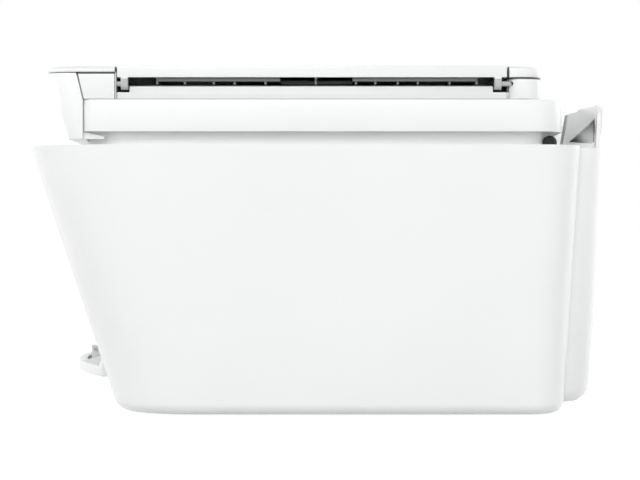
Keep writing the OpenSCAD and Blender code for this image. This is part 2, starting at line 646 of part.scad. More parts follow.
// Hollow slab between two x positions
module slab(x0, x1) {
    difference() {
        block(x0, x1, flap_y0, flap_y1, lid_rear_top, total_h);
        block(x0 + lid_wall, x1 - lid_wall, flap_y0 + lid_wall, flap_y1 - lid_wall, lid_rear_top - 1, total_h - 2.5);
    }
}
module knuckles(s) {
    for (k = [[flap_y0 + 2, flap_y0 + 6, flap_y0 - 2.2, flap_y0 + 3], [flap_y1 - 7, flap_y1 - 3, flap_y1 - 4, flap_y1 + 2.2]]) {
        rod_y(k[0], k[1], s * pin_x, pin_z, knuckle_r);
        block(s * pin_x - knuckle_r, s * pin_x + knuckle_r, k[0], k[1], pin_z, lid_rear_top + 0.5);
        rod_y(k[2], k[3], s * pin_x, pin_z, feeder_pin_r);
    }
}
cover_x1 = window_x0 + 12;
module feeder_cover() {
    color(white) {
        slab(-side_x, cover_x1);
        block(-side_x, -side_x + lid_wall, flap_y0 + 8, flap_y1 - 8, pin_z - 3, lid_rear_top + 0.1);
        knuckles(-1);
        for (y = [-80:40:80]) block(-side_x + 1, cover_x1 - 1, y - 0.6, y + 0.6, total_h - 4.5, total_h - 2);
    }
}
// Guide ribs under the flap, in parts of its width
rib_y = [for (p = [10.1, 17.2, 24.7, 30.1, 38.1, 51.1, 61.5, 66.5, 72.3, 77.5, 85.7, 92.7]) flap_y0 + p / 100 * flap_w];
rib_x0 = window_x0 + window_l - 90;
module document_tray() {
    color(white) {
        difference() {
            slab(cover_x1 + 2 * gap, side_x);
            // finger recess under the free end
            translate([cover_x1, (flap_y0 + flap_y1) / 2 + 3.1, 0]) linear_extrude(lid_rear_top + 2) rrect(-15, 15, -20, 20, 8);
        }
        knuckles(1);
        for (y = rib_y) block(rib_x0, side_x - 6, y - 0.6, y + 0.6, lid_rear_top - 3.6, total_h - 2);
        // liner under the flap, hung from the ribs, with a finger recess
        difference() {
            block(rib_x0, side_x - 3, flap_y0 + 22, flap_y1 - 17, lid_rear_top - 2.1, lid_rear_top);
            block(side_x - 24, side_x, flap_y0 + 92, flap_y0 + 133, lid_rear_top - 3, lid_rear_top + 1);
        }
    }
}
// Adjustable width guides for the originals
guide_x = cover_x1 + 32;
guide_y0 = flap_y0 + 4.8;        // faces of the two guides, a sheet's width apart
guide_y1 = flap_y1 - 3.4;
module feeder_guide(y, s) {
    translate([0, y, 0]) {
        block(guide_x - 27, guide_x + 27, min(0, s * 14), max(0, s * 14), lid_z1 + 0.2, lid_z1 + 1.7);
        block(guide_x - 27, guide_x + 27, min(0, -s * 2), max(0, -s * 2), lid_z1 + 0.2, lid_rear_top - 1.2);
        block(guide_x - 1.6, guide_x + 1.6, min(0, s * 14), max(0, s * 14), glass_z + 2.3, lid_z1 + 1);
    }
}
module feeder_front_guide() {
    color(grey) feeder_guide(guide_y0, 1);
}
module feeder_rear_guide() {
    color(grey) feeder_guide(guide_y1, -1);
}
// Rollers of the document feeder
module feeder_roller(x) {
    color(dark) {
        rod_y(-roller_hl - 10, roller_hl + 9, x, roller_z, 2);
        rod_y(-roller_hl, roller_hl, x, roller_z, 3.5);
        for (y = [-50, -15, 20]) rod_y(y, y + 30, x, roller_z, roller_r);
        rod_y(-roller_hl - 12, -roller_hl - 8, x, roller_z, 3.6);
    }
}

// ---- Print engine -----------------------------------------------------------
deck0 = pan_z + pan_t;          // upper face of the bottom plate
plate_t = 1.5;
feed_y = rear_y - 103;          // the print engine is laid out from the feed roller
feed_z = 54.5;
exit_y = feed_y - 36;
exit_z = feed_z + 1;
sheet_z = feed_z + 3.5;         // the paper runs level over the platen
chute_top = [back_y - 9, rim_z - 5];
sheet = [chute_top, [feed_y + 40, sheet_z + 7], [feed_y + 28, sheet_z + 1.5], [feed_y + 9, sheet_z]];
sheet_hw = mid_plate_x - 10;    // half the widest sheet
slope = atan2(sheet[0][1] - sheet[1][1], sheet[0][0] - sheet[1][0]);
pick_s = 79.1;                  // down the sheet from its top to the pick rollers
pick_y = chute_top[0] - pick_s * cos(slope) - (pick_r + 1) * sin(slope);
pick_z = chute_top[1] - pick_s * sin(slope) + (pick_r + 1) * cos(slope);
rail_y = feed_y + 7;
rail_z = 100;
rail_r = 4;
wheel_x = side_plate_x - 14;
wheel_z = rail_z - 16;
wheel_r = 6;
belt_y = feed_y + 8;
belt_w = 6;
belt_t = 1.2;
shaft_r = 2.5;
wheel_pin_r = 1.5;
beam_y = feed_y + 20;           // rear cross member
beam_z0 = 70;
frame_yf = exit_y - 14;         // side plates, front and rear
frame_yr = beam_y + 54;
frame_z1 = rail_z + 20;
lower_z1 = feed_z + 7.5;        // lower part of the middle plates, and their arms
arm_z1 = frame_z1 - 2;
rear_foot_y = feed_y + 32;
hook_y = beam_y - 8;
sill_z = 34;
module chassis_frame() {
    color(steel) difference() {
        union() {
            both() {
                block(side_plate_x - plate_t, side_plate_x, frame_yf, frame_yr, deck0, frame_z1);
                along_x(mid_plate_x - plate_t, mid_plate_x) polygon([[exit_y - 10, deck0], [exit_y - 10, lower_z1],
                    [feed_y + 24, lower_z1], [feed_y + 28, arm_z1], [rear_foot_y + 38, arm_z1],
                    [rear_foot_y, feed_z + 5.5], [rear_foot_y, deck0]]);
                for (y = [frame_yf, hook_y]) block(side_plate_x - 10, side_plate_x - 0.1, y, y + 4, deck0, deck0 + plate_t);
            }
            block(-side_plate_x, side_plate_x, beam_y, beam_y + plate_t, beam_z0, frame_z1);
            block(-side_plate_x, side_plate_x, hook_y, beam_y + plate_t, frame_z1 - plate_t, frame_z1);
            block(-side_plate_x, side_plate_x, frame_yf, frame_yf + plate_t, deck0, sill_z);
        }
        rod_x(-tub_hw, tub_hw, feed_y, feed_z, shaft_r + run);
        rod_x(-tub_hw, tub_hw, exit_y, exit_z, shaft_r + run);
        rod_x(-tub_hw, tub_hw, pick_y, pick_z, shaft_r + run);
        rod_x(-tub_hw, tub_hw, rail_y, rail_z, rail_r);
        for (x = [-wheel_x, wheel_x]) rod_y(beam_y - 10, beam_y + 10, x, wheel_z, wheel_pin_r + run);
    }
}
module carriage_rail() {
    color(steel) rod_x(-side_plate_x - 3, side_plate_x + 3, rail_y, rail_z, rail_r);
}
strip_y = beam_y - 3;
strip_t = 0.4;
strip_z0 = rail_z + 7;
module encoder_strip() {
    color([0.8, 0.82, 0.85, 0.6]) block(-side_plate_x + plate_t, side_plate_x - plate_t,
        strip_y, strip_y + strip_t, strip_z0, strip_z0 + 5);
}
platen_yf = exit_y + 7;
platen_yr = feed_y - 8;
platen_z1 = feed_z + 3.5;
platen_rib_h = 1.6;
platen_pitch = (mid_plate_x - 11) / 7;
module platen() {
    color(dark) {
        block(-mid_plate_x + plate_t, mid_plate_x - plate_t, platen_yf, platen_yr, platen_z1 - 8, platen_z1);
        for (i = [-7:7]) block(i * platen_pitch - 0.6, i * platen_pitch + 0.6, platen_yf, platen_yr,
            platen_z1 - 0.1, platen_z1 + platen_rib_h);
    }
}
// Tyres on a shaft along X
module roller(y, z, r, hl, xs, w) {
    rod_x(-hl, hl, y, z, shaft_r);
    for (x = xs) rod_x(x - w / 2, x + w / 2, y, z, r);
}
module feed_roller() {
    color(steel) {
        roller(feed_y, feed_z, feed_r, mid_plate_x + 4, [0], 2 * mid_plate_x - 10);
        rod_x(-mid_plate_x - 34, -mid_plate_x, feed_y, feed_z, shaft_r);
    }
}
gear_r = 8.6;
gear_x0 = -mid_plate_x - 32;
gear_x1 = gear_x0 + 5;
module feed_gear() {
    color(white) difference() {
        union() {
            rod_x(gear_x0, gear_x1, feed_y, feed_z, gear_r);
            for (a = [0:22.5:340]) translate([(gear_x0 + gear_x1) / 2, feed_y, feed_z]) rotate([a, 0, 0])
                translate([0, gear_r, 0]) cube([5, 3, 1.5], center = true);
        }
        rod_x(gear_x0 - 2, gear_x1 + 2, feed_y, feed_z, shaft_r + 0.01);
    }
}
module exit_roller() {
    color(dark) roller(exit_y, exit_z, exit_r, mid_plate_x + 4, [for (i = [-2:2]) i * (mid_plate_x - 26) / 2], 14);
}
module pick_roller() {
    color(dark) roller(pick_y, pick_z, pick_r, mid_plate_x + 4, [-30, 30], 18);
}
motor_r = 15;
pinion_y = feed_y + gear_r + 1.5 + 5.3;
module drive_motors() {
    color(steel) {
        difference() {
            rod_y(beam_y + plate_t, beam_y + 32, -wheel_x + 3, wheel_z, motor_r - 3);
            rod_y(beam_y, beam_y + 20, -wheel_x, wheel_z, wheel_pin_r + run);
        }
        rod_x(-side_plate_x + plate_t, gear_x0 - 8, pinion_y, feed_z, 12);
        rod_x(gear_x0 - 8.1, gear_x1, pinion_y, feed_z, 3);
        rod_x(gear_x0, gear_x1, pinion_y, feed_z, 5);
    }
}
module wheel(x) {
    color(dark) {
        rod_y(belt_y, belt_y + belt_w, x, wheel_z, wheel_r);
        rod_y(belt_y - 1.5, belt_y - 0.4, x, wheel_z, wheel_r + 2);
        rod_y(belt_y - 0.5, belt_y + 0.1, x, wheel_z, wheel_r - 1);
        rod_y(belt_y, beam_y + 6, x, wheel_z, wheel_pin_r);
    }
}
module carriage_belt() {
    color(dark) translate([0, belt_y + 0.3, wheel_z]) rotate([-90, 0, 0]) linear_extrude(belt_w - 0.6) difference() {
        union() {
            for (x = [-wheel_x, wheel_x]) translate([x, 0]) circle(wheel_r + gap + belt_t);
            square([2 * wheel_x, 2 * (wheel_r + gap + belt_t)], center = true);
        }
        for (x = [-wheel_x, wheel_x]) translate([x, 0]) circle(wheel_r + gap);
        square([2 * wheel_x, 2 * (wheel_r + gap)], center = true);
    }
}
// Carriage with its two cartridges, parked over the service station
park_x = side_plate_x - 39;
car_hw = 35.5;
car_y0 = feed_y - 46;
car_y1 = feed_y;
car_z0 = feed_z + 9.5;
car_z1 = rail_z + 4;
slot_x = 17;
slot_hw = 15;
nozzle_yf = car_y0 + 11;        // nozzle end of a cartridge
nozzle_yr = nozzle_yf + 22;
module print_carriage() {
    color(dark) translate([park_x, 0, 0]) difference() {
        union() {
            block(-car_hw, car_hw, car_y0, car_y1, car_z0 + 2, car_z1);
            block(-car_hw + 5, car_hw - 5, rail_y - 8, rail_y + 7, rail_z - 7, rail_z + 7);
            block(-car_hw + 5, car_hw - 5, car_y1 - 1, beam_y - 5, 108.5, 112);
            block(-car_hw + 5, car_hw - 5, car_y1 - 1, car_y1 + 4, rail_z, 112);
            block(-20, 8, car_y1 - 1, belt_y + belt_w, wheel_z + wheel_r + gap + belt_t + 0.4, rail_z - 6);
            block(-20, 8, car_y1 - 1, belt_y + belt_w, wheel_z + 2, wheel_z + wheel_r);
        }
        rod_x(-car_hw, car_hw, rail_y, rail_z, rail_r + run);
        for (x = [-slot_x, slot_x]) {
            block(x - slot_hw - 0.5, x + slot_hw + 0.5, car_y0 - 1, car_y1 - 3, car_z0 + 5, car_z1 + 1);
            block(x - 8, x + 8, nozzle_yf - 1, nozzle_yr + 1, car_z0, car_z0 + 6);
            rod_x(x - slot_hw - 2, x + slot_hw + 2, car_y1 - 8, car_z1 - 5, pin_r + 0.2);
        }
    }
}
module cartridge(x, tint) {
    color(tint) translate([park_x + x, 0, 0]) difference() {
        union() {
            block(-slot_hw, slot_hw, car_y0 + 1, car_y1 - 3.5, car_z0 + 5.5, car_z1 - 12);
            block(-7.5, 7.5, nozzle_yf, nozzle_yr, car_z0 + 0.4, car_z0 + 5.6);
        }
        block(-slot_hw + 3, slot_hw - 3, car_y0, car_y0 + 2, car_z1 - 22, car_z1 - 14);
    }
}
module latch(x) {
    color(white) translate([park_x + x, 0, 0]) {
        rod_x(-slot_hw - 1.5, slot_hw + 1.5, car_y1 - 8, car_z1 - 5, pin_r);
        block(-slot_hw, slot_hw, car_y1 - 8, car_y1 - 5, car_z1 - 11, car_z1 - 3.8);
        block(-slot_hw, slot_hw, car_y0 - 1, car_y1 - 8, car_z1 - 6.2, car_z1 - 3.8);
        block(-6, 6, car_y0 - 7, car_y0, car_z1 - 6.2, car_z1 - 4.2);
    }
}
sled_x0 = mid_plate_x + 5;
sled_x1 = side_plate_x - 5;
sled_yf = car_y0 + 4;
sled_yr = sled_yf + 48;
well_z1 = 30;                   // rim of the ink absorber
sled_z0 = well_z1 + gap;
sled_z1 = sled_z0 + 13.6;
sled_t = 2;
cap_z = car_z0 - 4;             // top of the posts that carry the nozzle caps
cap_h = 2.4;
wiper_t = 1.5;
module ink_absorber() {
    color(dark) {
        difference() {
            block(sled_x0 - 3, sled_x1 + 3, sled_yf - 4, sled_yr + 4, deck0, well_z1);
            block(sled_x0, sled_x1, sled_yf - 1, sled_yr + 1, deck0 + 2, well_z1 + 1);
        }
        color([0.85, 0.85, 0.82]) block(sled_x0, sled_x1, sled_yf - 1, sled_yr + 1, deck0 + 2, well_z1 - 4);
    }
}
module service_sled() {
    color(dark) {
        difference() {
            block(sled_x0, sled_x1 - 8, sled_yf, sled_yr, sled_z0, sled_z1);
            block(sled_x0 + sled_t, sled_x1 - 8 - sled_t, sled_yf + sled_t, sled_yr - sled_t, sled_z0 + sled_t, sled_z1 + 1);
        }
        for (x = [park_x - slot_x, park_x + slot_x]) {
            block(x - 9, x + 9, nozzle_yf, nozzle_yr, sled_z0 + 0.6, cap_z);
            color([0.3, 0.3, 0.3]) difference() {
                block(x - 8, x + 8, nozzle_yf + 1, nozzle_yr - 1, cap_z - 0.1, cap_z + cap_h);
                block(x - 6.5, x + 6.5, nozzle_yf + 2.5, nozzle_yr - 2.5, cap_z + 1, cap_z + cap_h + 1);
            }
        }
        block(sled_x0 + sled_t, sled_x0 + 34, nozzle_yr + 9, nozzle_yr + 9 + wiper_t, sled_z0 + 0.6, cap_z + cap_h);
    }
}

// ---- Electronics --------------------------------------------------------------
board_z = port_z + 1 - 1.6;
board_x0 = mid_plate_x + 6;
board_x1 = side_plate_x - plate_t - 0.5;
board_yr = rear_y - 9;
board_yf = board_yr - 56;
port_face = back_y - bulge_lean * (1 - (port_z - bulge_z) / (rim_z - bulge_z)) - 1;   // where the ports end
module main_board() {
    color([0.1, 0.35, 0.2]) {
        block(-board_x1, -board_x0, board_yf, board_yr, board_z, board_z + 1.6);
        for (x = [4 - board_x1, -board_x0 - 4], y = [board_yf + 4, board_yr - 4]) translate([x, y, deck0]) cylinder(r = 2.5, h = board_z - deck0 + 0.1);
        color(dark) for (c = [[28, 24, 14, 2], [14, 10, 8, 1.5], [14, 36, 6, 8]])
            translate([-board_x0 - c[0], board_yf + c[1], board_z + 1.5 + c[3] / 2]) cube([c[2], c[2], c[3]], center = true);
    }
}
module usb_port() {
    color(steel) difference() {
        block(-port_x - 8, -port_x + 8, board_yr - 14, port_face, port_z + 1, port_z + port_h - 1);
        block(-port_x - 6, -port_x + 6, port_face - 14, port_face + 1, port_z + 3, port_z + port_h - 3);
    }
}
supply_yf = beam_y + plate_t;
supply_yr = rear_y - 23.4;
module power_supply() {
    color(steel) difference() {
        block(mid_plate_x + 8, side_plate_x - plate_t - 0.5, supply_yf, supply_yr, deck0, 44);
        for (y = [supply_yf + 8:8:supply_yr - 8]) block(mid_plate_x + 14, side_plate_x - 8, y, y + 3, 43, 45);
    }
}
module power_inlet() {
    color(dark) {
        difference() {
            block(port_x - 11, port_x + 11, supply_yr, port_face, port_z + 0.6, port_z + port_h - 0.6);
            block(port_x - 9, port_x + 9, port_face - 16, port_face + 1, port_z + 2.4, port_z + port_h - 2.4);
        }
        for (x = [-4, 4]) rod_y(port_face - 17, port_face - 3, port_x + x, port_z + port_h / 2, 1.2);
    }
}
screws = [for (x = [-1, 1] * (hw_top - 36), y = [front_y + 106, exit_y + 18, rear_y - 45]) [x, y]];
module case_screws() {
    color(steel) for (p = screws) translate([p[0], p[1], floor_z + 0.2]) difference() {
        union() {
            cylinder(r = 3, h = 1.2);
            cylinder(r = 1.4, h = deck0 - floor_z - 0.4);
        }
        for (a = [0, 90]) rotate([0, 0, a]) cube([4, 0.8, 1.2], center = true);
    }
}

// ---- Rear paper input ------------------------------------------------------------
cheek_x0 = bulge_hw - 43;
cheek_x1 = cheek_x0 + 15;
// Point of the cheeks, measured from the rear cover's top edge
function cheek_at(y, z) = [back_y + y, rim_z + z];
module on_chute() {
    translate([0, chute_top[0], chute_top[1]]) rotate([slope, 0, 0]) children();
}
module paper_chute() {
    color(grey) {
        difference() {
            union() {
                along_x(-mid_plate_x + plate_t + gap, mid_plate_x - plate_t - gap) polygon(concat(sheet,
                    [for (p = [sheet[3] + [0, -2], sheet[2] + [0.5, -2], sheet[1] + [1.2, -2], sheet[0] + [1.6, -1.6]]) p]));
                on_chute() block(-cheek_x1, cheek_x1, -14, 0, -2.1, 0);
            }
            on_chute() both() block(sheet_hw - 62, sheet_hw + 4, -22, -19, -3, 1);
        }
        both() difference() {
            along_x(cheek_x0, cheek_x1) polygon([cheek_at(-24.4, 3.7), cheek_at(-21.4, 20.4), cheek_at(-14.4, 22.1),
                cheek_at(-14.1, 23.4), [input_at(rim_z + 25.7) - gap, rim_z + 25.7], [input_at(rim_z - 10) - gap, rim_z - 10],
                cheek_at(-15, -15), cheek_at(-22, -19), cheek_at(-24.4, -15)]);
            along_x(cheek_x1 - 8, cheek_x1 + 1) polygon([cheek_at(-21, 4), cheek_at(-13.3, 10.8),
                cheek_at(-8.3, 15.5), cheek_at(-6, 17.6), cheek_at(-4.8, 5), cheek_at(-8, 3)]);
        }
    }
}
tray_lean = atan(bulge_lean / (rim_z - bulge_z));
input_h0 = rim_z - 95;
input_h1 = rim_z + 26;
input_t = 2.2;
input_gap = 0.8;                // between the extension and the rear cover
input_face = back_y - wall - input_gap - input_t;     // front face of the extension at rim height
lip_z = 10;                     // the extension's grip starts this far above the rim
function input_at(z) = input_face + (z - rim_z) * tan(tray_lean);
notch_r = 16;
runner_pitch = (cheek_x1 - 45) / 2;   // between the extension's low ribs
module input_tray() {
    top = input_h1 - rim_z;
    color(white) translate([0, input_face, rim_z]) rotate([-tray_lean, 0, 0]) {
        difference() {
            union() {
                translate([0, input_t, 0]) rotate([90, 0, 0]) linear_extrude(input_t)
                    rrect(-cheek_x1, cheek_x1, input_h0 - rim_z, top, 10);
                block(10.5 - cheek_x1, cheek_x1 - 10.5, input_t / 2, input_t + 2.2, lip_z, top - 0.5);
            }
            translate([0, -1, top]) rotate([-90, 0, 0]) cylinder(r = notch_r, h = 2 * input_t + 4);
        }
        for (i = [-2:2]) block(i * runner_pitch - rib_hw, i * runner_pitch + rib_hw, -0.8, 0.1, input_h0 - rim_z + 12, top - 20);
    }
}
module input_guide(s) {
    color(grey) on_chute() {
        block(min(s * sheet_hw, s * (sheet_hw + 2)), max(s * sheet_hw, s * (sheet_hw + 2)), -36, -6, 0.3, 9);
        block(min(s * (sheet_hw - 10), s * (sheet_hw + 1)), max(s * (sheet_hw - 10), s * (sheet_hw + 1)), -24, -17, 0.3, 1.3);
        block(min(s * (sheet_hw - 8), s * sheet_hw), max(s * (sheet_hw - 8), s * sheet_hw), -21.6, -19.4, -3, 1);
    }
}

base_pan();
outer_case();
rear_cover();
top_deck();
front_bezel();
front_fascia();
control_panel();
display();
rubber_feet();
chassis_frame();
carriage_rail();
encoder_strip();
platen();
main_board();
power_supply();
power_inlet();
usb_port();
paper_chute();
drive_motors();
ink_absorber();
case_screws();
carriage_belt();
scanner_tub();
scanner_bezel();
scanner_glass();
scan_rod();
print_carriage();
cartridge(-slot_x, [0.12, 0.12, 0.13]);  // black_cartridge
cartridge(slot_x, [0.2, 0.35, 0.6]);  // colour_cartridge
latch(-slot_x);  // black_latch
latch(slot_x);  // colour_latch
feed_roller();
feed_gear();
exit_roller();
pick_roller();
wheel(-wheel_x);  // motor_pulley
wheel(wheel_x);  // idler_pulley
service_sled();
scan_head();
lid_base();
lid_pad();
feeder_front_cap();
feeder_rear_cap();
feeder_cover();
feeder_roller(roller_x[0]);  // feeder_pick_roller
feeder_roller(roller_x[1]);  // feeder_feed_roller
document_tray();
feeder_front_guide();
feeder_rear_guide();
input_tray();
input_guide(-1);  // input_guide_left
input_guide(1);  // input_guide_right
output_tray();
tray_catch();
cartridge_door();
button(0);  // power_button
button(1);  // wireless_button
button(2);  // cancel_button
button(3);  // copy_button
button(4);  // colour_copy_button
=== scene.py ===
import json
import math

import bmesh
import bpy
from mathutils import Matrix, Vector


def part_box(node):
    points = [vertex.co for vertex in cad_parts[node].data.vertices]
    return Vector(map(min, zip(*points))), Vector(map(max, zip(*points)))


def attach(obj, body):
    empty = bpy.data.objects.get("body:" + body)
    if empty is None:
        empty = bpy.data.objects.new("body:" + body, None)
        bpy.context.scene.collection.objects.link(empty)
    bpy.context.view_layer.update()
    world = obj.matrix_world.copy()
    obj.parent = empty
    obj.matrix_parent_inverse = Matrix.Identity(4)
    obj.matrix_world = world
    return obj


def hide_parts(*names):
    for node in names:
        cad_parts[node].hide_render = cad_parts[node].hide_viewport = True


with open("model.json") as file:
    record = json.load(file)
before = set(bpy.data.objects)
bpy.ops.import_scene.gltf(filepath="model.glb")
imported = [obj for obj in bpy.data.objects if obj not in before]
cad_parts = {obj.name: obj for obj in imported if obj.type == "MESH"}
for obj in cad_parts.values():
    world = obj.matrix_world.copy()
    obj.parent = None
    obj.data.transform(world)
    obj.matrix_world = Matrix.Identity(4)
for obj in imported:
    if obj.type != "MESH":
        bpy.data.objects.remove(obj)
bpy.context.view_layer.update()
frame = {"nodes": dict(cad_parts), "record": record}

# ---- View, light and table -------------------------------------------------
# The printer is seen from its right side through a long lens. It stands on a
# white table in a white studio, under one broad lamp over the camera, with
# two narrow, dimmer ones before its front.
FRAME_PX = 640                  # width of the frame
FOCAL_PX = 1787                 # focal length, in the same pixels
SENSOR = 36                     # width of the sensor, in millimetres
NEAR = 0.01
EYE = Vector((1.214, -0.0012, 0.1015))
camera_data = bpy.data.cameras.new("camera")
camera_data.sensor_width = SENSOR
camera_data.lens = FOCAL_PX * SENSOR / FRAME_PX
camera_data.clip_start = NEAR
camera = bpy.data.objects.new("camera", camera_data)
camera.location = EYE
camera.rotation_euler = (math.pi / 2, 0, math.pi / 2)
bpy.context.scene.collection.objects.link(camera)
bpy.context.scene.camera = camera
bpy.context.scene.view_settings.view_transform = "Standard"

AIM = Vector((0, 0, 0.1))       # the middle of the printer


def soft_box(name, place, width, height, watts):
    """A rectangular lamp that points at the middle of the printer."""
    data = bpy.data.lights.new(name, "AREA")
    data.shape = "RECTANGLE"
    data.size, data.size_y = width, height
    data.energy = watts
    lamp = bpy.data.objects.new(name, data)
    lamp.location = place
    lamp.rotation_euler = (AIM - Vector(place)).to_track_quat("-Z", "Y").to_euler()
    lamp.visible_camera = False
    bpy.context.scene.collection.objects.link(lamp)


soft_box("key_lamp", place=(2.0, -0.4, 1.7), width=1.6, height=1.6, watts=19)
soft_box("front_lamp", place=(0.1, -2.2, 0.5), width=0.5, height=1.6, watts=8)
soft_box("far_front_lamp", place=(-0.9, -2.0, 0.5), width=0.5, height=1.6, watts=5)


class Value:
    """A node's output that can stand in a sum."""

    def __init__(self, nodes, socket):
        self.nodes = nodes
        self.socket = socket

    def math(self, operation, *terms):
        return self.nodes.node("ShaderNodeMath", {"operation": operation}, *terms)

    def __add__(self, other):
        return self.math("ADD", self, other)

    def __sub__(self, other):
        return self.math("SUBTRACT", self, other)

    def __rsub__(self, other):
        return self.math("SUBTRACT", other, self)

    def __mul__(self, other):
        return self.math("MULTIPLY", self, other)

    def __pow__(self, power):
        return self.math("POWER", self, power)

    def __lt__(self, other):
        return self.math("LESS_THAN", self, other)

    def __gt__(self, other):
        return self.math("GREATER_THAN", self, other)

    __radd__ = __add__
    __rmul__ = __mul__


class Nodes:
    """A node tree that is written as expressions."""

    def __init__(self, tree):
        self.tree = tree
        self.tree.nodes.clear()

    def node(self, kind, settings=None, *values, out=0, **named):
        """Adds a node: its settings first, then its sockets by place or by name."""
        node = self.tree.nodes.new(kind)
        for name, setting in (settings or {}).items():
            setattr(node, name, setting)
        sockets = list(enumerate(values))
        sockets += [(label.replace("_", " "), value) for label, value in named.items()]
        for socket, value in sockets:
            if isinstance(value, Value):
                self.tree.links.new(value.socket, node.inputs[socket])
            elif value is not None:
                node.inputs[socket].default_value = value
        return Value(self, node.outputs[out] if node.outputs else None)


class Finish(Nodes):
    """A material, or the world, and the nodes that make it."""

    def __init__(self, name, owner=None):
        self.material = owner or bpy.data.materials.new(name)
        self.material.use_nodes = True
        super().__init__(self.material.node_tree)

    def ramp(self, factor, *stops, sharp=False):
        """Blends, or steps, through (place, colour) stops."""
        node = self.tree.nodes.new("ShaderNodeValToRGB")
        elements = node.color_ramp.elements
        node.color_ramp.interpolation = "CONSTANT" if sharp else "LINEAR"
        while len(elements) < len(stops):
            elements.new(0.5)
        for element, (place, colour) in zip(elements, stops):
            element.position = place
            element.color = (*colour, 1)
        self.tree.links.new(factor.socket, node.inputs[0])
        return Value(self, node.outputs[0])

    def mix(self, mask, under, over):
        """One colour where the mask is 0, and the other where it is 1."""
        return self.node("ShaderNodeMix", {"data_type": "RGBA"}, mask, *[None] * 5, under, over, out=2)


def white_to_the_eye(finish, plain, white):
    """Shows white to the camera, to gloss and through glass, and the plain shader to other light."""
    kinds = ("Is Camera Ray", "Is Glossy Ray", "Is Transmission Ray")
    camera_ray, gloss_ray, glass_ray = [finish.node("ShaderNodeLightPath", out=kind) for kind in kinds]
    seen = camera_ray + gloss_ray + glass_ray
    return finish.node("ShaderNodeMixShader", None, seen, plain, white)


# The studio's walls: their own level, then where each soft light stands, how sharp its edge
# is, and how bright it is
WALL_LEVEL = 0.2
GLOWS = (((1, 0, 0), 3, 0.85), ((1, 0, 0.1), 12, 2.7), ((1, 0, 0), 40, 0.3),
         ((-1, -1, 0), 12, 8), ((-1, 1, 0), 12, 14), ((0, 1, 0.1), 40, 0.9))
world = bpy.data.worlds.new("white_room")
bpy.context.scene.world = world
room = Finish("white_room", world)
direction = room.node("ShaderNodeTexCoord", out="Generated")
sky = WALL_LEVEL
for side, sharpness, level in GLOWS:
    toward = room.node("ShaderNodeVectorMath", {"operation": "DOT_PRODUCT"}, direction,
                       Vector(side).normalized(), out="Value")
    sky = toward.math("MAXIMUM", toward, 0.0) ** sharpness * level + sky
walls = room.node("ShaderNodeBackground", None, (1, 1, 1, 1), sky)
white_walls = room.node("ShaderNodeBackground", None, (1, 1, 1, 1), 1.0)
room.node("ShaderNodeOutputWorld", None, white_to_the_eye(room, walls, white_walls))

TABLE_SIZE = 40
TABLE_TONE = 0.64               # of its paint, as it lights the printer from below
TABLE_GLOW = 0.97               # how bright it looks in the printer's shadow
TABLE_SHADE = 0.13              # how much of that shadow shows on it
bpy.ops.mesh.primitive_plane_add(size=TABLE_SIZE, location=(0, 0, 0))
table = bpy.context.object
table.name = "table"
table_top = Finish("table_top")
paint = table_top.node("ShaderNodeBsdfDiffuse", None, (TABLE_TONE, TABLE_TONE, TABLE_TONE, 1))
white = table_top.node("ShaderNodeEmission", None, (1, 1, 1, 1), 1.0)
bright = table_top.node("ShaderNodeEmission", None, (1, 1, 1, 1), TABLE_GLOW)
shaded = table_top.node("ShaderNodeBsdfDiffuse", None, (TABLE_SHADE, TABLE_SHADE, TABLE_SHADE, 1))
lit = table_top.node("ShaderNodeAddShader", None, bright, shaded)
eye_ray = table_top.node("ShaderNodeLightPath", out="Is Camera Ray")
seen_white = table_top.node("ShaderNodeMixShader", None, eye_ray, white, lit)
table_top.node("ShaderNodeOutputMaterial", None, white_to_the_eye(table_top, paint, seen_white))
table.data.materials.append(table_top.material)


# ---- Outer case, rear cover and top deck -------------------------------------
# The tapered tub of the case, the rear cover and the deck under the scanner are
# injection moulded in one satin white plastic, with a fine spark-eroded grain,
# and snapped and screwed together over the chassis.
MOTTLE = 0.012                  # how far the flow marks change a plastic's colour
ROUGH_SPREAD = 0.05             # and its grain and its rubbed places its roughness


def plastic(name, colour, roughness, grain=0.12, coat=0.0, shade=None, spark_size=0.0004):
    """Moulded plastic: faint flow marks in its colour, and a fine grain."""
    finish = Finish(name)
    place = finish.node("ShaderNodeTexCoord", out="Object")
    flow = finish.node("ShaderNodeTexNoise", None, Vector=place, Scale=9.0, Detail=3.0, out="Fac")
    if shade is None:
        tone = [tuple(c * (1 + k * MOTTLE) for c in colour) for k in (-1, 1)]
        shade = finish.ramp(flow, (0.3, tone[0]), (0.7, tone[1]))
    else:
        shade = shade(finish, place)
    spark = finish.node("ShaderNodeTexNoise", None, Vector=place, Scale=1 / spark_size, Detail=2.0,
                        out="Fac")
    rub = finish.node("ShaderNodeTexNoise", None, Vector=place, Scale=60.0, Detail=4.0, out="Fac")
    rough = spark * ROUGH_SPREAD + rub * ROUGH_SPREAD + (roughness - ROUGH_SPREAD)
    bump = finish.node("ShaderNodeBump", None, Strength=grain, Distance=0.00004, Height=spark)
    surface = finish.node("ShaderNodeBsdfPrincipled", None, Base_Color=shade, Roughness=rough,
                          Normal=bump, Coat_Weight=coat, Coat_Roughness=0.12)
    finish.node("ShaderNodeOutputMaterial", None, surface)
    return finish.material


def satin(name, colour, shade=None):
    """The case's satin plastic, in any colour or pattern."""
    return plastic(name, colour, 0.34, coat=0.4, shade=shade)


def bake(piece):
    """Turns what the modifiers make of a piece into its mesh."""
    bpy.context.view_layer.update()
    evaluated = piece.evaluated_get(bpy.context.evaluated_depsgraph_get())
    mesh = bpy.data.meshes.new_from_object(evaluated)
    piece.modifiers.clear()
    piece.data = mesh


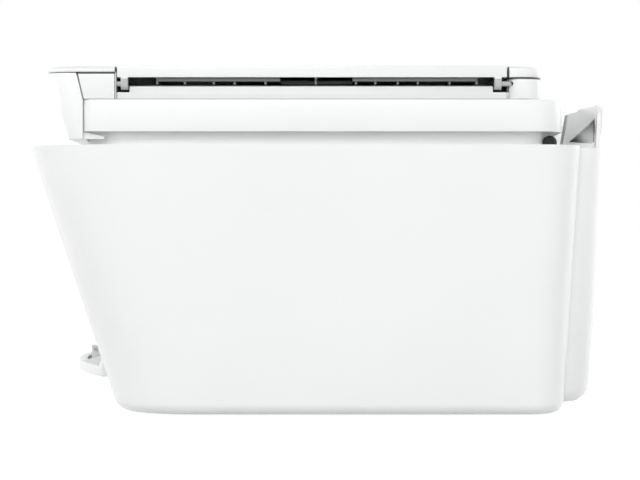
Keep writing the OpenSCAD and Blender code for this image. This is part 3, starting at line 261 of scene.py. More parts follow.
def smooth(piece, crease=40):
    """Shades round stretches smoothly and leaves real edges sharp."""
    for face in piece.data.polygons:
        face.use_smooth = True
    piece.data.set_sharp_from_angle(angle=math.radians(crease))


SHARP = 32                      # edges past this many degrees are rounded
ROUND_STEPS = 2


def soften(piece, edge):
    """Rounds the sharp edges of a piece and shades it smoothly."""
    bevel = piece.modifiers.new("edge", "BEVEL")
    bevel.width = edge
    bevel.segments = ROUND_STEPS
    bevel.limit_method = "ANGLE"
    bevel.angle_limit = math.radians(SHARP)
    bevel.use_clamp_overlap = True
    bake(piece)
    smooth(piece)


BODIES = {node: body for body, nodes in frame["record"]["behaviour"]["bodies"].items() for node in nodes}
WELD = 2e-6                     # corners nearer to each other than this become one
FLAT = math.radians(0.4)        # and so do faces that meet at less than this


def dressed(node, material, edge=0.0003, carve=None):
    """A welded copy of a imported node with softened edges, which stands for it and moves with it."""
    mesh = frame["nodes"][node].data.copy()
    welded = bmesh.new()
    welded.from_mesh(mesh)
    bmesh.ops.remove_doubles(welded, verts=welded.verts, dist=WELD)
    bmesh.ops.dissolve_limit(welded, angle_limit=FLAT, verts=welded.verts, edges=welded.edges)
    if carve:
        carve(welded)
    welded.to_mesh(mesh)
    welded.free()
    mesh.materials.clear()
    mesh.materials.append(material)
    piece = bpy.data.objects.new(node + "_piece", mesh)
    bpy.context.scene.collection.objects.link(piece)
    if edge:
        soften(piece, edge)
    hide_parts(node)
    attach(piece, BODIES[node])


def held(share):
    """Holds a share between 0 and 1."""
    return min(1, max(0, share))


case_white = satin("case_white", (0.895, 0.903, 0.9))
case_low, case_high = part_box("outer_case")
FRONT_SLOPE = 0.32              # the case's front goes back this much per height, downwards
CORNER = 0.045                  # depth of its rounded front corners
CORNER_OUT = 0.0034             # how far they come forward of the bay between them
CORNER_EASE = 0.03              # the depth over which they ease back
BAY_X = 0.126                   # beside the bay's frame, where they start to come forward
FULL_X = 0.172                  # and where they are fully out


def corners_out(piece):
    """Brings the two front corners forward, and eases them into the bay's frame."""
    for x in (-FULL_X, -BAY_X, BAY_X, FULL_X):
        bmesh.ops.bisect_plane(piece, geom=piece.verts[:] + piece.edges[:] + piece.faces[:],
                               plane_co=(x, 0, 0), plane_no=(1, 0, 0))
    for vert in piece.verts:
        behind = vert.co.y - case_low[1] - (case_high[2] - vert.co.z) * FRONT_SLOPE
        ahead = held((CORNER - behind) / CORNER_EASE)
        aside = held((abs(vert.co.x) - BAY_X) / (FULL_X - BAY_X))
        vert.co.y -= CORNER_OUT * ahead * aside


dressed("outer_case", case_white, carve=corners_out)
dressed("top_deck", case_white, carve=corners_out)
dressed("rear_cover", case_white)

# ---- Base pan, feet and screws -------------------------------------------------
# The bottom pan is ribbed grey plastic. Four soft rubber feet are pressed into
# its seats, and zinc-plated pan-head screws hold the case down to the chassis.
PORE = 0.0009                   # width of a pore in the rubber
SPANGLE = 0.012                 # and of a crystal in the plating


def rubber(name, tone):
    """Moulded rubber: matt, faintly mottled, with fine pores."""
    finish = Finish(name)
    place = finish.node("ShaderNodeTexCoord", out="Object")
    bloom = finish.node("ShaderNodeTexNoise", None, Vector=place, Scale=140.0, Detail=3.0, out="Fac")
    shade = finish.ramp(bloom, (0.35, (tone, tone, tone)), (0.75, (tone * 1.5, tone * 1.5, tone * 1.55)))
    pores = finish.node("ShaderNodeTexVoronoi", None, Vector=place, Scale=1 / PORE, out="Distance")
    bump = finish.node("ShaderNodeBump", None, Strength=0.25, Distance=0.0001, Height=pores)
    surface = finish.node("ShaderNodeBsdfPrincipled", None, Base_Color=shade, Normal=bump,
                          Roughness=bloom * 0.15 + 0.62)
    finish.node("ShaderNodeOutputMaterial", None, surface)
    return finish.material


def metal(name, colour, roughness, stretch=(1, 1, 1), drawn=0.0):
    """Plated or bare metal: crystals in the plating, or fine lines along the way it was drawn."""
    finish = Finish(name)
    place = finish.node("ShaderNodeTexCoord", out="Object")
    lines = finish.node("ShaderNodeMapping", None, place, None, None, stretch)
    scratch = finish.node("ShaderNodeTexNoise", None, Vector=lines, Scale=900.0, Detail=3.0, out="Fac")
    crystal = finish.node("ShaderNodeTexVoronoi", None, Vector=place, Scale=1 / SPANGLE, out="Distance")
    dark_tone = tuple(c * 0.9 for c in colour)
    shade = finish.ramp(crystal + scratch * 0.4, (0.15, dark_tone), (0.8, colour))
    rough = crystal * 0.12 + scratch * 0.14 + (roughness - 0.08)
    bump = finish.node("ShaderNodeBump", None, Strength=drawn, Distance=0.00003, Height=scratch)
    surface = finish.node("ShaderNodeBsdfPrincipled", None, Base_Color=shade, Metallic=1.0,
                          Roughness=rough, Normal=bump)
    finish.node("ShaderNodeOutputMaterial", None, surface)
    return finish.material


pan_grey = plastic("pan_grey", (0.6, 0.61, 0.62), 0.5, grain=0.25, spark_size=0.0007)
black_rubber = rubber("black_rubber", 0.022)
bright_steel = metal("bright_steel", (0.6, 0.6, 0.61), 0.24, stretch=(0.03, 1, 1), drawn=0.12)
dressed("base_pan", pan_grey, carve=corners_out)
dressed("rubber_feet", black_rubber, edge=0.0008)
dressed("case_screws", bright_steel, edge=0.00012)

# ---- Chassis and print engine frame --------------------------------------------
# Folded zinc-coated sheet carries the engine and cases the power supply. The carriage
# rail and the scanner's guide rod are ground steel, and a printed clear film is
# stretched beside the rail.
zinc_sheet = metal("zinc_sheet", (0.56, 0.57, 0.58), 0.38)
dressed("chassis_frame", zinc_sheet, edge=0.0002)
dressed("power_supply", zinc_sheet, edge=0.0002)
dressed("carriage_rail", bright_steel, edge=0.0002)
dressed("scan_rod", bright_steel, edge=0.0002)

FILM_LINE = 0.0006              # one printed line and the gap beside it
film = Finish("code_film")
place = film.node("ShaderNodeTexCoord", out="Object")
across = film.node("ShaderNodeSeparateXYZ", None, place)
lines = across.math("PINGPONG", across, FILM_LINE / 2) * (2 / FILM_LINE) > 0.5
print_tone = film.ramp(lines, (0.4, (0.75, 0.78, 0.8)), (0.6, (0.02, 0.02, 0.02)))
film.node("ShaderNodeOutputMaterial", None, film.node(
    "ShaderNodeBsdfPrincipled", None, Base_Color=print_tone, Roughness=0.12, Alpha=lines * 0.5 + 0.35))
dressed("encoder_strip", film.material, edge=0)

# ---- Motors, belt and rollers ---------------------------------------------------
# Two small motors in steel cans. The carriage motor drives a toothed rubber belt
# round two pulleys, and the feed motor turns the rollers through plastic gears.
ENGINE_BLACK = (0.035, 0.036, 0.038)
engine_black = plastic("engine_black", ENGINE_BLACK, 0.42)
gear_white = plastic("gear_white", (0.82, 0.81, 0.77), 0.35, grain=0.05)
grey_rubber = rubber("grey_rubber", 0.09)
dressed("drive_motors", bright_steel, edge=0.0003)
dressed("carriage_belt", black_rubber, edge=0.0001)
for node in ("motor_pulley", "idler_pulley", "platen"):
    dressed(node, engine_black, edge=0.0002)
dressed("feed_gear", gear_white, edge=0.0001)
for node in ("feed_roller", "exit_roller", "pick_roller", "feeder_pick_roller", "feeder_feed_roller"):
    dressed(node, grey_rubber, edge=0.0002)


class Pattern(Nodes):
    """A tree that repeats a shape, with its sizes as named inputs."""

    def __init__(self, name, **sizes):
        tree = bpy.data.node_groups.new(name, "GeometryNodeTree")
        super().__init__(tree)
        tree.interface.new_socket("Geometry", in_out="INPUT", socket_type="NodeSocketGeometry")
        self.inputs = {}
        for label, value in sizes.items():
            kind = "NodeSocketInt" if isinstance(value, int) else "NodeSocketFloat"
            socket = tree.interface.new_socket(label, in_out="INPUT", socket_type=kind)
            self.inputs[socket.identifier] = value
        tree.interface.new_socket("Geometry", in_out="OUTPUT", socket_type="NodeSocketGeometry")
        entry = tree.nodes.new("NodeGroupInput")
        self.spots = Value(self, entry.outputs[0])
        self.size = {label: Value(self, entry.outputs[label]) for label in sizes}

    def make(self, name, spots, edges, shapes, material, node):
        """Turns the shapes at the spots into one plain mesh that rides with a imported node."""
        real = self.node("GeometryNodeRealizeInstances", None, shapes)
        real = self.node("GeometryNodeSetMaterial", None, real, Material=material)
        self.tree.links.new(real.socket, self.tree.nodes.new("NodeGroupOutput").inputs[0])
        mesh = bpy.data.meshes.new(name)
        mesh.from_pydata(spots, edges, [])
        piece = bpy.data.objects.new(name, mesh)
        bpy.context.scene.collection.objects.link(piece)
        modifier = piece.modifiers.new(name, "NODES")
        modifier.node_group = self.tree
        for identifier, value in self.inputs.items():
            modifier[identifier] = value
        bake(piece)
        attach(piece, BODIES[node])


def centre(node):
    """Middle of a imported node's box."""
    low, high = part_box(node)
    return (Vector(low) + Vector(high)) / 2


RIDGE_PROUD = 0.0002
RIDGES_WIDTH = 1.6              # of all the ridges of a tyre together, in its radii


def grip(node, spots, radius, width, ridges, along):
    """Fine grip ridges round the rubber tyres of a roller that lies along X or Y."""
    tread = Pattern(node + "_tread", Ridges=ridges, Radius=radius, Width=width, Proud=RIDGE_PROUD)
    size = tread.size
    bar = tread.node("ShaderNodeCombineXYZ", None, size["Proud"] * 2,
                     size["Radius"] * (RIDGES_WIDTH / ridges), size["Width"])
    bar = tread.node("GeometryNodeMeshCube", None, bar)
    ring = tread.node("GeometryNodeMeshCircle", None, size["Ridges"], size["Radius"])
    turn = tread.node("ShaderNodeCombineXYZ", None, 0.0, 0.0,
                      tread.node("GeometryNodeInputIndex") * (2 * math.pi / ridges))
    ring = tread.node("GeometryNodeInstanceOnPoints", None, ring, Instance=bar, Rotation=turn)
    lie = (math.pi / 2, 0, 0) if along == "y" else (0, math.pi / 2, 0)
    ring = tread.node("GeometryNodeTransform", None, ring, Rotation=lie)
    rings = tread.node("GeometryNodeInstanceOnPoints", None, tread.spots, Instance=ring)
    tread.make(node + "_grip", spots, [], rings, grey_rubber, node)


FEEDER_TYRES_Y = (-0.035, 0, 0.035)
PICK_TYRES_X = (-0.03, 0.03)
for node in ("feeder_pick_roller", "feeder_feed_roller"):
    middle = centre(node)
    spots = [(middle.x, y, middle.z) for y in FEEDER_TYRES_Y]
    grip(node, spots, radius=0.006, width=0.0296, ridges=36, along="y")
middle = centre("pick_roller")
spots = [(x, middle.y, middle.z) for x in PICK_TYRES_X]
grip("pick_roller", spots, radius=0.014, width=0.0176, ridges=64, along="x")

# Teeth on the inside of the carriage belt's two straight runs
TOOTH_PITCH = 0.002
TOOTH_H = 0.0007
TOOTH_IN = 0.0002               # from the belt's edges to the ends of its teeth
BELT_T = 0.0012
RUN_IN = 0.008                  # from the belt's ends to its straight runs
belt_low, belt_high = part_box("carriage_belt")
run_x0 = belt_low[0] + RUN_IN
run_length = belt_high[0] - belt_low[0] - 2 * RUN_IN
teeth = Pattern("belt_teeth", Teeth=int(run_length / TOOTH_PITCH), Pitch=TOOTH_PITCH,
                Width=belt_high[1] - belt_low[1] - 2 * TOOTH_IN)
tooth = teeth.node("GeometryNodeMeshCube", None, teeth.node(
    "ShaderNodeCombineXYZ", None, teeth.size["Pitch"] * 0.5, teeth.size["Width"], TOOTH_H))
row = teeth.node("GeometryNodeMeshLine", None, teeth.size["Teeth"], Offset=teeth.node(
    "ShaderNodeCombineXYZ", None, teeth.size["Pitch"]))
row = teeth.node("GeometryNodeInstanceOnPoints", None, row, Instance=tooth)
rows = teeth.node("GeometryNodeInstanceOnPoints", None, teeth.spots, Instance=row)
belt_y = centre("carriage_belt").y
spots = [(run_x0, belt_y, z) for z in (belt_low[2] + BELT_T, belt_high[2] - BELT_T)]
teeth.make("belt_teeth", spots, [], rows, black_rubber, "carriage_belt")

# ---- Print carriage and cartridges ------------------------------------------------
# The carriage is black moulded plastic. Each cartridge is a black box with a
# plain band on top, three-coloured on one and grey on the other, under a latch.
CARTRIDGE_BLACK = (0.03, 0.03, 0.033)
BAND_H = 0.012
BAND_IN = 0.004                 # from the front and rear of a cartridge to its band
BANDS = {
    "black_cartridge": [(0.0, (0.28, 0.28, 0.29)), (0.97, (0.28, 0.28, 0.29))],
    "colour_cartridge": [(0.0, (0.02, 0.3, 0.5)), (0.34, (0.55, 0.04, 0.22)), (0.67, (0.85, 0.65, 0.05))],
}


def within(finish, place, low, high):
    """1 inside a box, 0 outside it."""
    mask = None
    for axis in range(3):
        along = finish.node("ShaderNodeSeparateXYZ", None, place, out=axis)
        slab = (along > low[axis]) * (along < high[axis])
        mask = slab if mask is None else mask * slab
    return mask


def banded(low, high, *bands):
    """A black box whose top carries bands of colour across its width."""
    def shade(finish, place):
        across = finish.node("ShaderNodeSeparateXYZ", None, place)
        colours = finish.ramp((across - low[0]) * (1 / (high[0] - low[0])), *bands, sharp=True)
        top = within(finish, place, (-1, low[1] + BAND_IN, high[2] - BAND_H), (1, high[1] - BAND_IN, 1))
        return finish.mix(top, (*CARTRIDGE_BLACK, 1), colours)
    return shade


for node, bands in BANDS.items():
    low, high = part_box(node)
    dressed(node, plastic(node, CARTRIDGE_BLACK, 0.34, shade=banded(low, high, *bands)), edge=0.0003)
dressed("print_carriage", engine_black, edge=0.0003)
for node in ("black_latch", "colour_latch"):
    dressed(node, gear_white, edge=0.0003)
dressed("service_sled", engine_black, edge=0.0002)

# A moulded tray full of white felt, stained where the waste ink drips on it
WASTE_WALL = 0.0028             # from the tray's sides to the felt
WASTE_FLOOR = 0.0015            # from its underside to the felt
WASTE_RIM = 0.001               # from the top of the felt to the tray's edge
felt = Finish("waste_felt")
place = felt.node("ShaderNodeTexCoord", out="Object")
low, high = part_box("ink_absorber")
pad = within(felt, place, Vector(low) + Vector((WASTE_WALL, WASTE_WALL, WASTE_FLOOR)),
             Vector(high) - Vector((WASTE_WALL, WASTE_WALL, WASTE_RIM)))
fibre = felt.node("ShaderNodeTexNoise", None, Vector=place, Scale=700.0, Detail=6.0, Distortion=2.0,
                  out="Fac")
stain = felt.node("ShaderNodeTexNoise", None, Vector=place, Scale=30.0, Detail=2.0, out="Fac")
bump = felt.node("ShaderNodeBump", None, Strength=0.6, Distance=0.0005, Height=fibre * pad)
fluff = felt.ramp(stain + fibre * 0.2, (0.35, (0.66, 0.65, 0.62)), (0.8, (0.4, 0.4, 0.44)))
felt.node("ShaderNodeOutputMaterial", None, felt.node(
    "ShaderNodeBsdfPrincipled", None, Normal=bump, Roughness=pad * 0.5 + 0.45,
    Base_Color=felt.mix(pad, (*ENGINE_BLACK, 1), fluff)))
dressed("ink_absorber", felt.material, edge=0.0002)

# ---- Main board and ports ----------------------------------------------------------
# A green glass-fibre board with chips and small parts soldered on top. The data
# port's steel shell and the mains inlet's black body show through the rear cover.
board = Finish("circuit_board")
place = board.node("ShaderNodeTexCoord", out="Object")
cells = board.node("ShaderNodeTexVoronoi", {"distance": "CHEBYCHEV"}, Vector=place, Scale=260.0,
                   out="Distance")
tracks = board.node("ShaderNodeTexBrick", None, Vector=place, Scale=420.0, Mortar_Size=0.02, out="Fac")
pads = cells < 0.12
mask_green = board.ramp(tracks, (0.3, (0.01, 0.11, 0.045)), (0.7, (0.02, 0.2, 0.08)))
board.node("ShaderNodeOutputMaterial", None, board.node(
    "ShaderNodeBsdfPrincipled", None, Metallic=pads, Roughness=0.28 + pads * 0.08,
    Base_Color=board.mix(pads, mask_green, (0.75, 0.72, 0.62, 1))))
dressed("main_board", board.material, edge=0)
TALLEST_PART = 0.008            # the tallest part stands this far above the board's face
CHIP = (0.003, 0.002, 0.001)
parts = Pattern("board_parts", Columns=14, Rows=11, Seed=7, Pitch=0.0042)
size = parts.size
spots = parts.node("GeometryNodeMeshGrid", None, (size["Columns"] - 1) * size["Pitch"],
                   (size["Rows"] - 1) * size["Pitch"], size["Columns"], size["Rows"])
kept = parts.node("FunctionNodeRandomValue", {"data_type": "BOOLEAN"}, Seed=size["Seed"],
                  Probability=0.42, out=3)
stretch = parts.node("FunctionNodeRandomValue", {"data_type": "FLOAT_VECTOR"}, (0.4, 0.3, 0.5),
                     (1.0, 1.0, 1.3), Seed=size["Seed"] + 5)
chip = parts.node("GeometryNodeMeshCube", None, CHIP)
chips = parts.node("GeometryNodeInstanceOnPoints", None, spots, kept, chip, Scale=stretch)
chips = parts.node("GeometryNodeInstanceOnPoints", None, parts.spots, Instance=chips)
middle = centre("main_board")
face_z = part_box("main_board")[1][2] - TALLEST_PART
parts.make("board_parts", [(middle.x, middle.y, face_z)], [], chips, engine_black, "main_board")
dressed("usb_port", bright_steel, edge=0.0002)
dressed("power_inlet", engine_black, edge=0.0003)

# ---- Scanner -------------------------------------------------------------------------
# A shallow white tub with a dark bezel that frames the glass. The scan head is a
# black bar with a lens strip along its top, and runs under the glass on its rod.
bezel_grey = plastic("bezel_grey", (0.2, 0.205, 0.21), 0.45)
tub_low, tub_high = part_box("scanner_tub")
TUB_R = 0.018                   # the tub's corner radius in plan
FRONT_R = 0.006                 # and that of its two front corners, behind the fascia
TUB_WALL = 0.0025
WALL_SLACK = 0.0006             # what stands this near the wall's inside moves with it
ON_ARC = 1e-5                   # a point this near the end of a corner's arc is on it
TUB_CLOSER = 0.0005             # how far the front moves toward the fascia


def tighten_front(tub):
    """Pulls the two front corners, walls and all, out to their smaller radius."""
    for vert in tub.verts:
        side = math.copysign(1, vert.co.x)
        out_x = abs(vert.co.x) - (tub_high[0] - TUB_R)
        out_y = (tub_low[1] + TUB_R) - vert.co.y
        reach = math.hypot(out_x, out_y)
        if min(out_x, out_y) < -ON_ARC or reach < TUB_R - TUB_WALL - WALL_SLACK:
            continue
        shrink = (FRONT_R - (TUB_R - reach)) / reach
        vert.co.x = side * (tub_high[0] - FRONT_R + out_x * shrink)
        vert.co.y = tub_low[1] + FRONT_R - out_y * shrink
    for vert in tub.verts:
        if vert.co.y < tub_low[1] + FRONT_R:
            vert.co.y -= TUB_CLOSER


dressed("scanner_tub", case_white, carve=tighten_front)
dressed("scanner_bezel", bezel_grey, carve=tighten_front)
glass = Finish("scanner_glass")
place = glass.node("ShaderNodeTexCoord", out="Object")
wipe = glass.node("ShaderNodeTexNoise", None, Vector=place, Scale=18.0, Detail=3.0, out="Fac")
glass.node("ShaderNodeOutputMaterial", None, glass.node(
    "ShaderNodeBsdfPrincipled", None, Base_Color=(0.93, 0.97, 0.95, 1), IOR=1.5, Transmission_Weight=1.0,
    Roughness=wipe ** 4.0 * 0.25))
dressed("scanner_glass", glass.material, edge=0.0001)
head_low, head_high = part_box("scan_head")
LENS_HALF = 0.002               # half the width of the strip of lenses
LENS_IN = 0.006                 # from the ends of the head to the strip
LENS_T = 0.0012
LENS_PITCH = 0.0008


def lens_strip(finish, place):
    """Black, with a bright strip of lenses along the top."""
    middle = centre("scan_head").x
    strip = within(finish, place, (middle - LENS_HALF, head_low[1] + LENS_IN, head_high[2] - LENS_T),
                   (middle + LENS_HALF, head_high[1] - LENS_IN, 1))
    along = finish.node("ShaderNodeSeparateXYZ", None, place, out=1)
    beads = along.math("PINGPONG", along, LENS_PITCH) * (0.48 / LENS_PITCH) + 0.3
    lenses = finish.ramp(beads, (0, (0.1, 0.16, 0.14)), (1, (0.6, 0.75, 0.7)))
    return finish.mix(strip, (*ENGINE_BLACK, 1), lenses)


dressed("scan_head", plastic("scan_head", (0.03, 0.03, 0.03), 0.35, shade=lens_strip), edge=0.0002)

# ---- Lid -------------------------------------------------------------------------------
# The lid closes over the glass and carries the document feeder. Its outside is
# white with painted shadow along the seams, the paper path in it has a dark floor
# and end walls painted pale grey as the shade under the flap, and a white foam
# pad with a smooth skin is stuck underneath.
cover_low, cover_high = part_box("feeder_cover")
lid_low, lid_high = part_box("lid_base")
LID_WHITE = (0.865, 0.873, 0.87, 1)
# Pale grey painted on the path's end walls as the shade under the flap's overhang
WALL_SHADE = (0.77, 0.785, 0.78, 1)
PATH_DARK = (0.05, 0.051, 0.053, 1)
# Painted shadow in the seams between the lid, its caps and the flap
SEAM_SHADOW = (0.08, 0.082, 0.084, 1)
WALL_IN = 0.0012                # from the ends of the feeder's cover to the path's end walls
PATH_IN = 0.0075                # from the lid's side to the dark floor
FLOOR_Z = 0.1836                # foot of the dark floor
WALL_Z = 0.1795                 # foot of the end walls
FRONT_SEAM_Z, REAR_SEAM_Z = 0.1953, 0.1923
SEAM_IN = 0.0005                # how far a seam's painted shadow reaches into its edges
FASCIA_OUT = 0.0018             # how far the fascia and the front cap stand out
NOSE_Y = -0.138                 # the cap's nose starts here
NOSE_EASE = 0.005               # and is fully out this far on
front_cap_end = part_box("feeder_front_cap")[1][1]
rear_cap_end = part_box("feeder_rear_cap")[0][1]


def paper_path(finish, place):
    """White outside, painted shade greying the end walls under the flap, dark where the paper runs, and
    painted shadow in the seams.
    """
    low, high = cover_low[1] + WALL_IN, cover_high[1] - WALL_IN
    floor = within(finish, place, (lid_low[0] + PATH_IN, low, FLOOR_Z), (lid_high[0] - PATH_IN, high, 1))
    # The end walls under the flap are greyed with painted shade
    walls = within(finish, place, (-1, low, WALL_Z), (1, high, 1))
    shade = finish.mix(floor, finish.mix(walls, LID_WHITE, WALL_SHADE), PATH_DARK)
    # Painted shadow where the caps and the flap meet the lid
    seam_shadows = (within(finish, place, (-1, -1, FRONT_SEAM_Z), (1, low, 1))
             + within(finish, place, (-1, high, REAR_SEAM_Z), (1, 1, 1))
             + within(finish, place, (-1, low - SEAM_IN, WALL_Z), (1, low, 1))
             + within(finish, place, (-1, high, WALL_Z), (1, high + SEAM_IN, 1)))
    return finish.mix(seam_shadows, shade, SEAM_SHADOW)


def cap_ends(finish, place):
    """White, with painted shadow on the ends that face the flap."""
    # The cap ends that face the flap get painted shadow
    gap_shadow = within(finish, place, (-1, front_cap_end - SEAM_IN, 0), (1, rear_cap_end + SEAM_IN, 1))
    return finish.mix(gap_shadow, LID_WHITE, SEAM_SHADOW)


def cap_forward(cap):
    """Brings the cap's nose forward with the fascia."""
    for vert in cap.verts:
        vert.co.y -= FASCIA_OUT * held((NOSE_Y - vert.co.y) / NOSE_EASE)


dressed("lid_base", satin("lid_white", LID_WHITE, shade=paper_path))
cap_white = satin("cap_white", LID_WHITE, shade=cap_ends)
dressed("feeder_front_cap", cap_white, carve=cap_forward)
dressed("feeder_rear_cap", cap_white)
dressed("feeder_cover", satin("cover_white", LID_WHITE[:3]))
guide_grey = plastic("guide_grey", (0.12, 0.122, 0.125), 0.42)
for node in ("feeder_front_guide", "feeder_rear_guide"):
    dressed(node, guide_grey, edge=0.0004)
foam = Finish("pad_foam")
place = foam.node("ShaderNodeTexCoord", out="Object")
pores = foam.node("ShaderNodeTexVoronoi", None, Vector=place, Scale=1400.0, out="Distance")
cloud = foam.node("ShaderNodeTexNoise", None, Vector=place, Scale=12.0, Detail=2.0, out="Fac")
bump = foam.node("ShaderNodeBump", None, Strength=0.15, Distance=0.0001, Height=pores)
foam.node("ShaderNodeOutputMaterial", None, foam.node(
    "ShaderNodeBsdfPrincipled", None, Normal=bump, Roughness=cloud * 0.1 + 0.55,
    Base_Color=foam.ramp(cloud, (0.3, (0.88, 0.88, 0.87)), (0.7, (0.92, 0.92, 0.92)))))
dressed("lid_pad", foam.material, edge=0.0003)

# ---- Document tray ------------------------------------------------------------------------
# The flap over the feeder is a white slab with a dark liner under it, hung on a
# row of thin ribs between the two hinge knuckles.
tray_low, tray_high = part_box("document_tray")
KNUCKLE_GREY = (0.5, 0.51, 0.505, 1)
RIB_GREY = (0.3, 0.302, 0.305, 1)
LINER_DARK = (0.16, 0.163, 0.165, 1)
LINER_IN = 0.014                # from the flap's ends to the liner
LINER_Z = 0.19345               # top of the liner, under the slab
LINER_T = 0.0021                # its thickness; the ribs show below it
KNUCKLE_DOWN = 0.0008           # from the liner's top to where the knuckles' grey starts


def lined(finish, place):
    """White slab, grey knuckles, dark liner and ribs."""
    under = within(finish, place, (-1, tray_low[1] + LINER_IN, 0), (1, tray_high[1] - LINER_IN, LINER_Z))
    ribs = within(finish, place, (-1, -1, 0), (1, 1, LINER_Z - LINER_T))
    liner = finish.mix(ribs, LINER_DARK, RIB_GREY)
    knuckles = within(finish, place, (-1, -1, 0), (1, 1, LINER_Z - KNUCKLE_DOWN))
    return finish.mix(under, finish.mix(knuckles, LID_WHITE, KNUCKLE_GREY), liner)


dressed("document_tray", satin("tray_white", LID_WHITE, shade=lined))

# ---- Rear paper input ----------------------------------------------------------------------
# The chute behind the scanner leads plain paper down into the engine. Its cheeks
# and the extension are pale grey plastic, with two sliding width guides.
chute_grey = satin("chute_grey", (0.89, 0.895, 0.895))
for node in ("paper_chute", "input_tray", "input_guide_left", "input_guide_right"):
    dressed(node, chute_grey)

# A round rubber buffer lies across the deck beside the chute, with a shallow dish in its end
BUFFER_R = 0.004
BUFFER_X0, BUFFER_X1 = 0.15, 0.19
BUFFER_Y, BUFFER_Z = 0.1306, 0.1574
BUFFER_CHAMFER = 0.0012
BUFFER_LIP = 0.0018             # from its side to the dish
DISH_SLOPE = 0.0004
DISH_X = BUFFER_X1 - 0.0006     # floor of the dish
BUFFER_SIDES = 40
profile = [(0, BUFFER_X0), (BUFFER_R - BUFFER_CHAMFER, BUFFER_X0), (BUFFER_R, BUFFER_X0 + BUFFER_CHAMFER),
           (BUFFER_R, BUFFER_X1 - BUFFER_CHAMFER), (BUFFER_R - BUFFER_CHAMFER, BUFFER_X1),
           (BUFFER_R - BUFFER_LIP, BUFFER_X1), (BUFFER_R - BUFFER_LIP - DISH_SLOPE, DISH_X), (0, DISH_X)]
angles = [2 * math.pi * k / BUFFER_SIDES for k in range(BUFFER_SIDES)]
lathe = bmesh.new()
rings = []
for radius, x in profile:
    if radius == 0:
        rings.append([lathe.verts.new((x, BUFFER_Y, BUFFER_Z))] * BUFFER_SIDES)
        continue
    rings.append([lathe.verts.new((x, BUFFER_Y + radius * math.cos(a), BUFFER_Z + radius * math.sin(a)))
                  for a in angles])
for near, far in zip(rings, rings[1:]):
    for k in range(BUFFER_SIDES):
        after = (k + 1) % BUFFER_SIDES
        corners = list(dict.fromkeys((near[k], near[after], far[after], far[k])))
        lathe.faces.new(corners)
bmesh.ops.recalc_face_normals(lathe, faces=lathe.faces)
mesh = bpy.data.meshes.new("landing_buffer")
lathe.to_mesh(mesh)
lathe.free()
mesh.materials.append(black_rubber)
buffer = bpy.data.objects.new("landing_buffer", mesh)
bpy.context.scene.collection.objects.link(buffer)
smooth(buffer, crease=30)
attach(buffer, BODIES["top_deck"])

# ---- Output bay, tray and cartridge door ------------------------------------------------------
# A dark bezel lines the bay in the front slope. The output tray is pale grey with a
# darker paper catch on it, and the door above swings down to reach the cartridges.
RIM_Y, RIM_Z = -0.136, 0.0205   # the tray's rim stands in front of this and above this
RIM_LOW = 0.32                  # how much of its height it keeps
EAR_X, EAR_Y = 0.055, -0.1512   # the catch's ears lie within these and keep theirs


def low_rim(tray):
    """Lowers the rim around the tray's front end."""
    for vert in tray.verts:
        ear = abs(vert.co.x) < EAR_X and vert.co.y > EAR_Y
        if vert.co.y < RIM_Y and vert.co.z > RIM_Z and not ear:
            vert.co.z = RIM_Z + (vert.co.z - RIM_Z) * RIM_LOW


dressed("front_bezel", bezel_grey)
dressed("output_tray", plastic("tray_grey", (0.8, 0.808, 0.806), 0.36, coat=0.4), carve=low_rim)
dressed("tray_catch", plastic("catch_grey", (0.66, 0.668, 0.668), 0.4), edge=0.0004)
dressed("cartridge_door", case_white)

# ---- Fascia, control panel and buttons ----------------------------------------------------------
# The leaning fascia of the scanner carries a grey panel, a small liquid crystal
# display behind a clear window, and five round push buttons with raised marks.
fascia_low, fascia_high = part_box("front_fascia")
FASCIA_FOOT = Vector((0, -0.1424, fascia_low[2]))       # lower edge of the fascia's face
LEAN = math.atan((FASCIA_FOOT.y - fascia_low[1]) / (fascia_high[2] - fascia_low[2]))
FASCIA_T = 0.0145               # what lies this far behind the face stays
FASCIA_EASE = 0.0043            # what lies this much nearer comes fully forward
JOINT_Y = -0.1362               # the fascia's rear edges, along the scanner's tub, stay too
JOINT_EASE = 0.003


def fascia_forward(fascia):
    """Brings the face and its rounded ends forward, and leaves the joint behind them."""
    for vert in fascia.verts:
        face_y = FASCIA_FOOT.y - (vert.co.z - FASCIA_FOOT.z) * math.tan(LEAN)
        ahead = (FASCIA_T - (vert.co.y - face_y)) / FASCIA_EASE
        vert.co.y -= FASCIA_OUT * held(min(ahead, (JOINT_Y - vert.co.y) / JOINT_EASE))


def all_forward(piece):
    """Moves a piece forward with the fascia."""
    for vert in piece.verts:
        vert.co.y -= FASCIA_OUT


dressed("front_fascia", case_white, carve=fascia_forward)
panel_grey = plastic("panel_grey", (0.5, 0.505, 0.51), 0.4)
dressed("control_panel", panel_grey, edge=0.0002, carve=all_forward)
PIXEL = 0.0003                  # height of the display's rows
screen = Finish("display_screen")
place = screen.node("ShaderNodeTexCoord", out="Object")
haze = screen.node("ShaderNodeTexNoise", None, Vector=place, Scale=25.0, Detail=2.0, out="Fac")
rows = screen.node("ShaderNodeSeparateXYZ", None, place, out=2)
grid = rows.math("PINGPONG", rows, PIXEL) * (0.45 / PIXEL) + haze * 0.3
screen.node("ShaderNodeOutputMaterial", None, screen.node(
    "ShaderNodeBsdfPrincipled", None, Roughness=haze * 0.05 + 0.04, Coat_Weight=1.0, Coat_Roughness=0.02,
    Base_Color=screen.ramp(grid, (0.1, (0.035, 0.045, 0.043)), (0.7, (0.05, 0.062, 0.06)))))
dressed("display", screen.material, edge=0.0002, carve=all_forward)
button_white = satin("button_white", (0.86, 0.86, 0.86))
mark_grey = plastic("mark_grey", (0.12, 0.12, 0.125), 0.5)


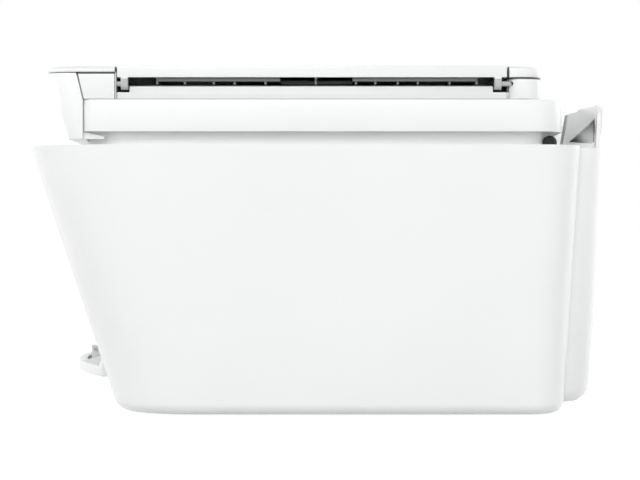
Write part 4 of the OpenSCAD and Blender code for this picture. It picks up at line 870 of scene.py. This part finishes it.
def arc(x, z, radius, start, end, steps=14):
    """Points along an arc; angles in degrees from straight up, turning right."""
    angles = [math.radians(start + (end - start) * k / steps) for k in range(steps + 1)]
    return [(x + radius * math.sin(a), z + radius * math.cos(a)) for a in angles]


# Raised marks, in millimetres from each button's middle. A page is a closed outline
MM = 0.001
PAGE = [(-1.2, -1.5), (1.2, -1.5), (1.2, 1.5), (-1.2, 1.5), (-1.2, -1.5)]
PAGES = [[(x - 0.5, z - 0.4) for x, z in PAGE], [(x + 0.6, z + 0.5) for x, z in PAGE]]
MARKS = {
    "power_button": [arc(0, -0.2, 1.7, 35, 325, 24), [(0, 0.3), (0, 2.0)]],
    "wireless_button": [arc(0, -1.4, 0.35, 0, 360, 10), arc(0, -1.4, 1.4, -45, 45),
                        arc(0, -1.4, 2.5, -45, 45)],
    "cancel_button": [[(-1.3, -1.3), (1.3, 1.3)], [(-1.3, 1.3), (1.3, -1.3)]],
    "copy_button": PAGES,
    "colour_copy_button": [*PAGES, arc(-0.5, -0.4, 0.55, 0, 360, 10)],
}
MARK_R = 0.00016                # half the width of a mark's line
BUTTON_UP = 0.0195              # middle of the buttons, up the face
BUTTON_OUT = 0.00083            # their tops, out from the face
up = Vector((0, -math.sin(LEAN), math.cos(LEAN)))
out = Vector((0, -math.cos(LEAN), -math.sin(LEAN)))
for node, strokes in MARKS.items():
    dressed(node, button_white, edge=0.0003, carve=all_forward)
    middle = FASCIA_FOOT + up * BUTTON_UP + out * BUTTON_OUT - Vector((0, FASCIA_OUT, 0))
    middle.x = centre(node).x
    points, edges = [], []
    for stroke in strokes:
        edges += [(len(points) + k, len(points) + k + 1) for k in range(len(stroke) - 1)]
        points += [middle + Vector((x * MM, 0, 0)) + up * z * MM for x, z in stroke]
    mark = Pattern(node + "_mark", Thick=MARK_R)
    line = mark.node("GeometryNodeMeshToCurve", None, mark.spots)
    bead = mark.node("GeometryNodeCurvePrimitiveCircle", None, 6, Radius=mark.size["Thick"])
    line = mark.node("GeometryNodeCurveToMesh", None, line, bead, Fill_Caps=True)
    mark.make(node + "_mark", points, edges, line, mark_grey, node)
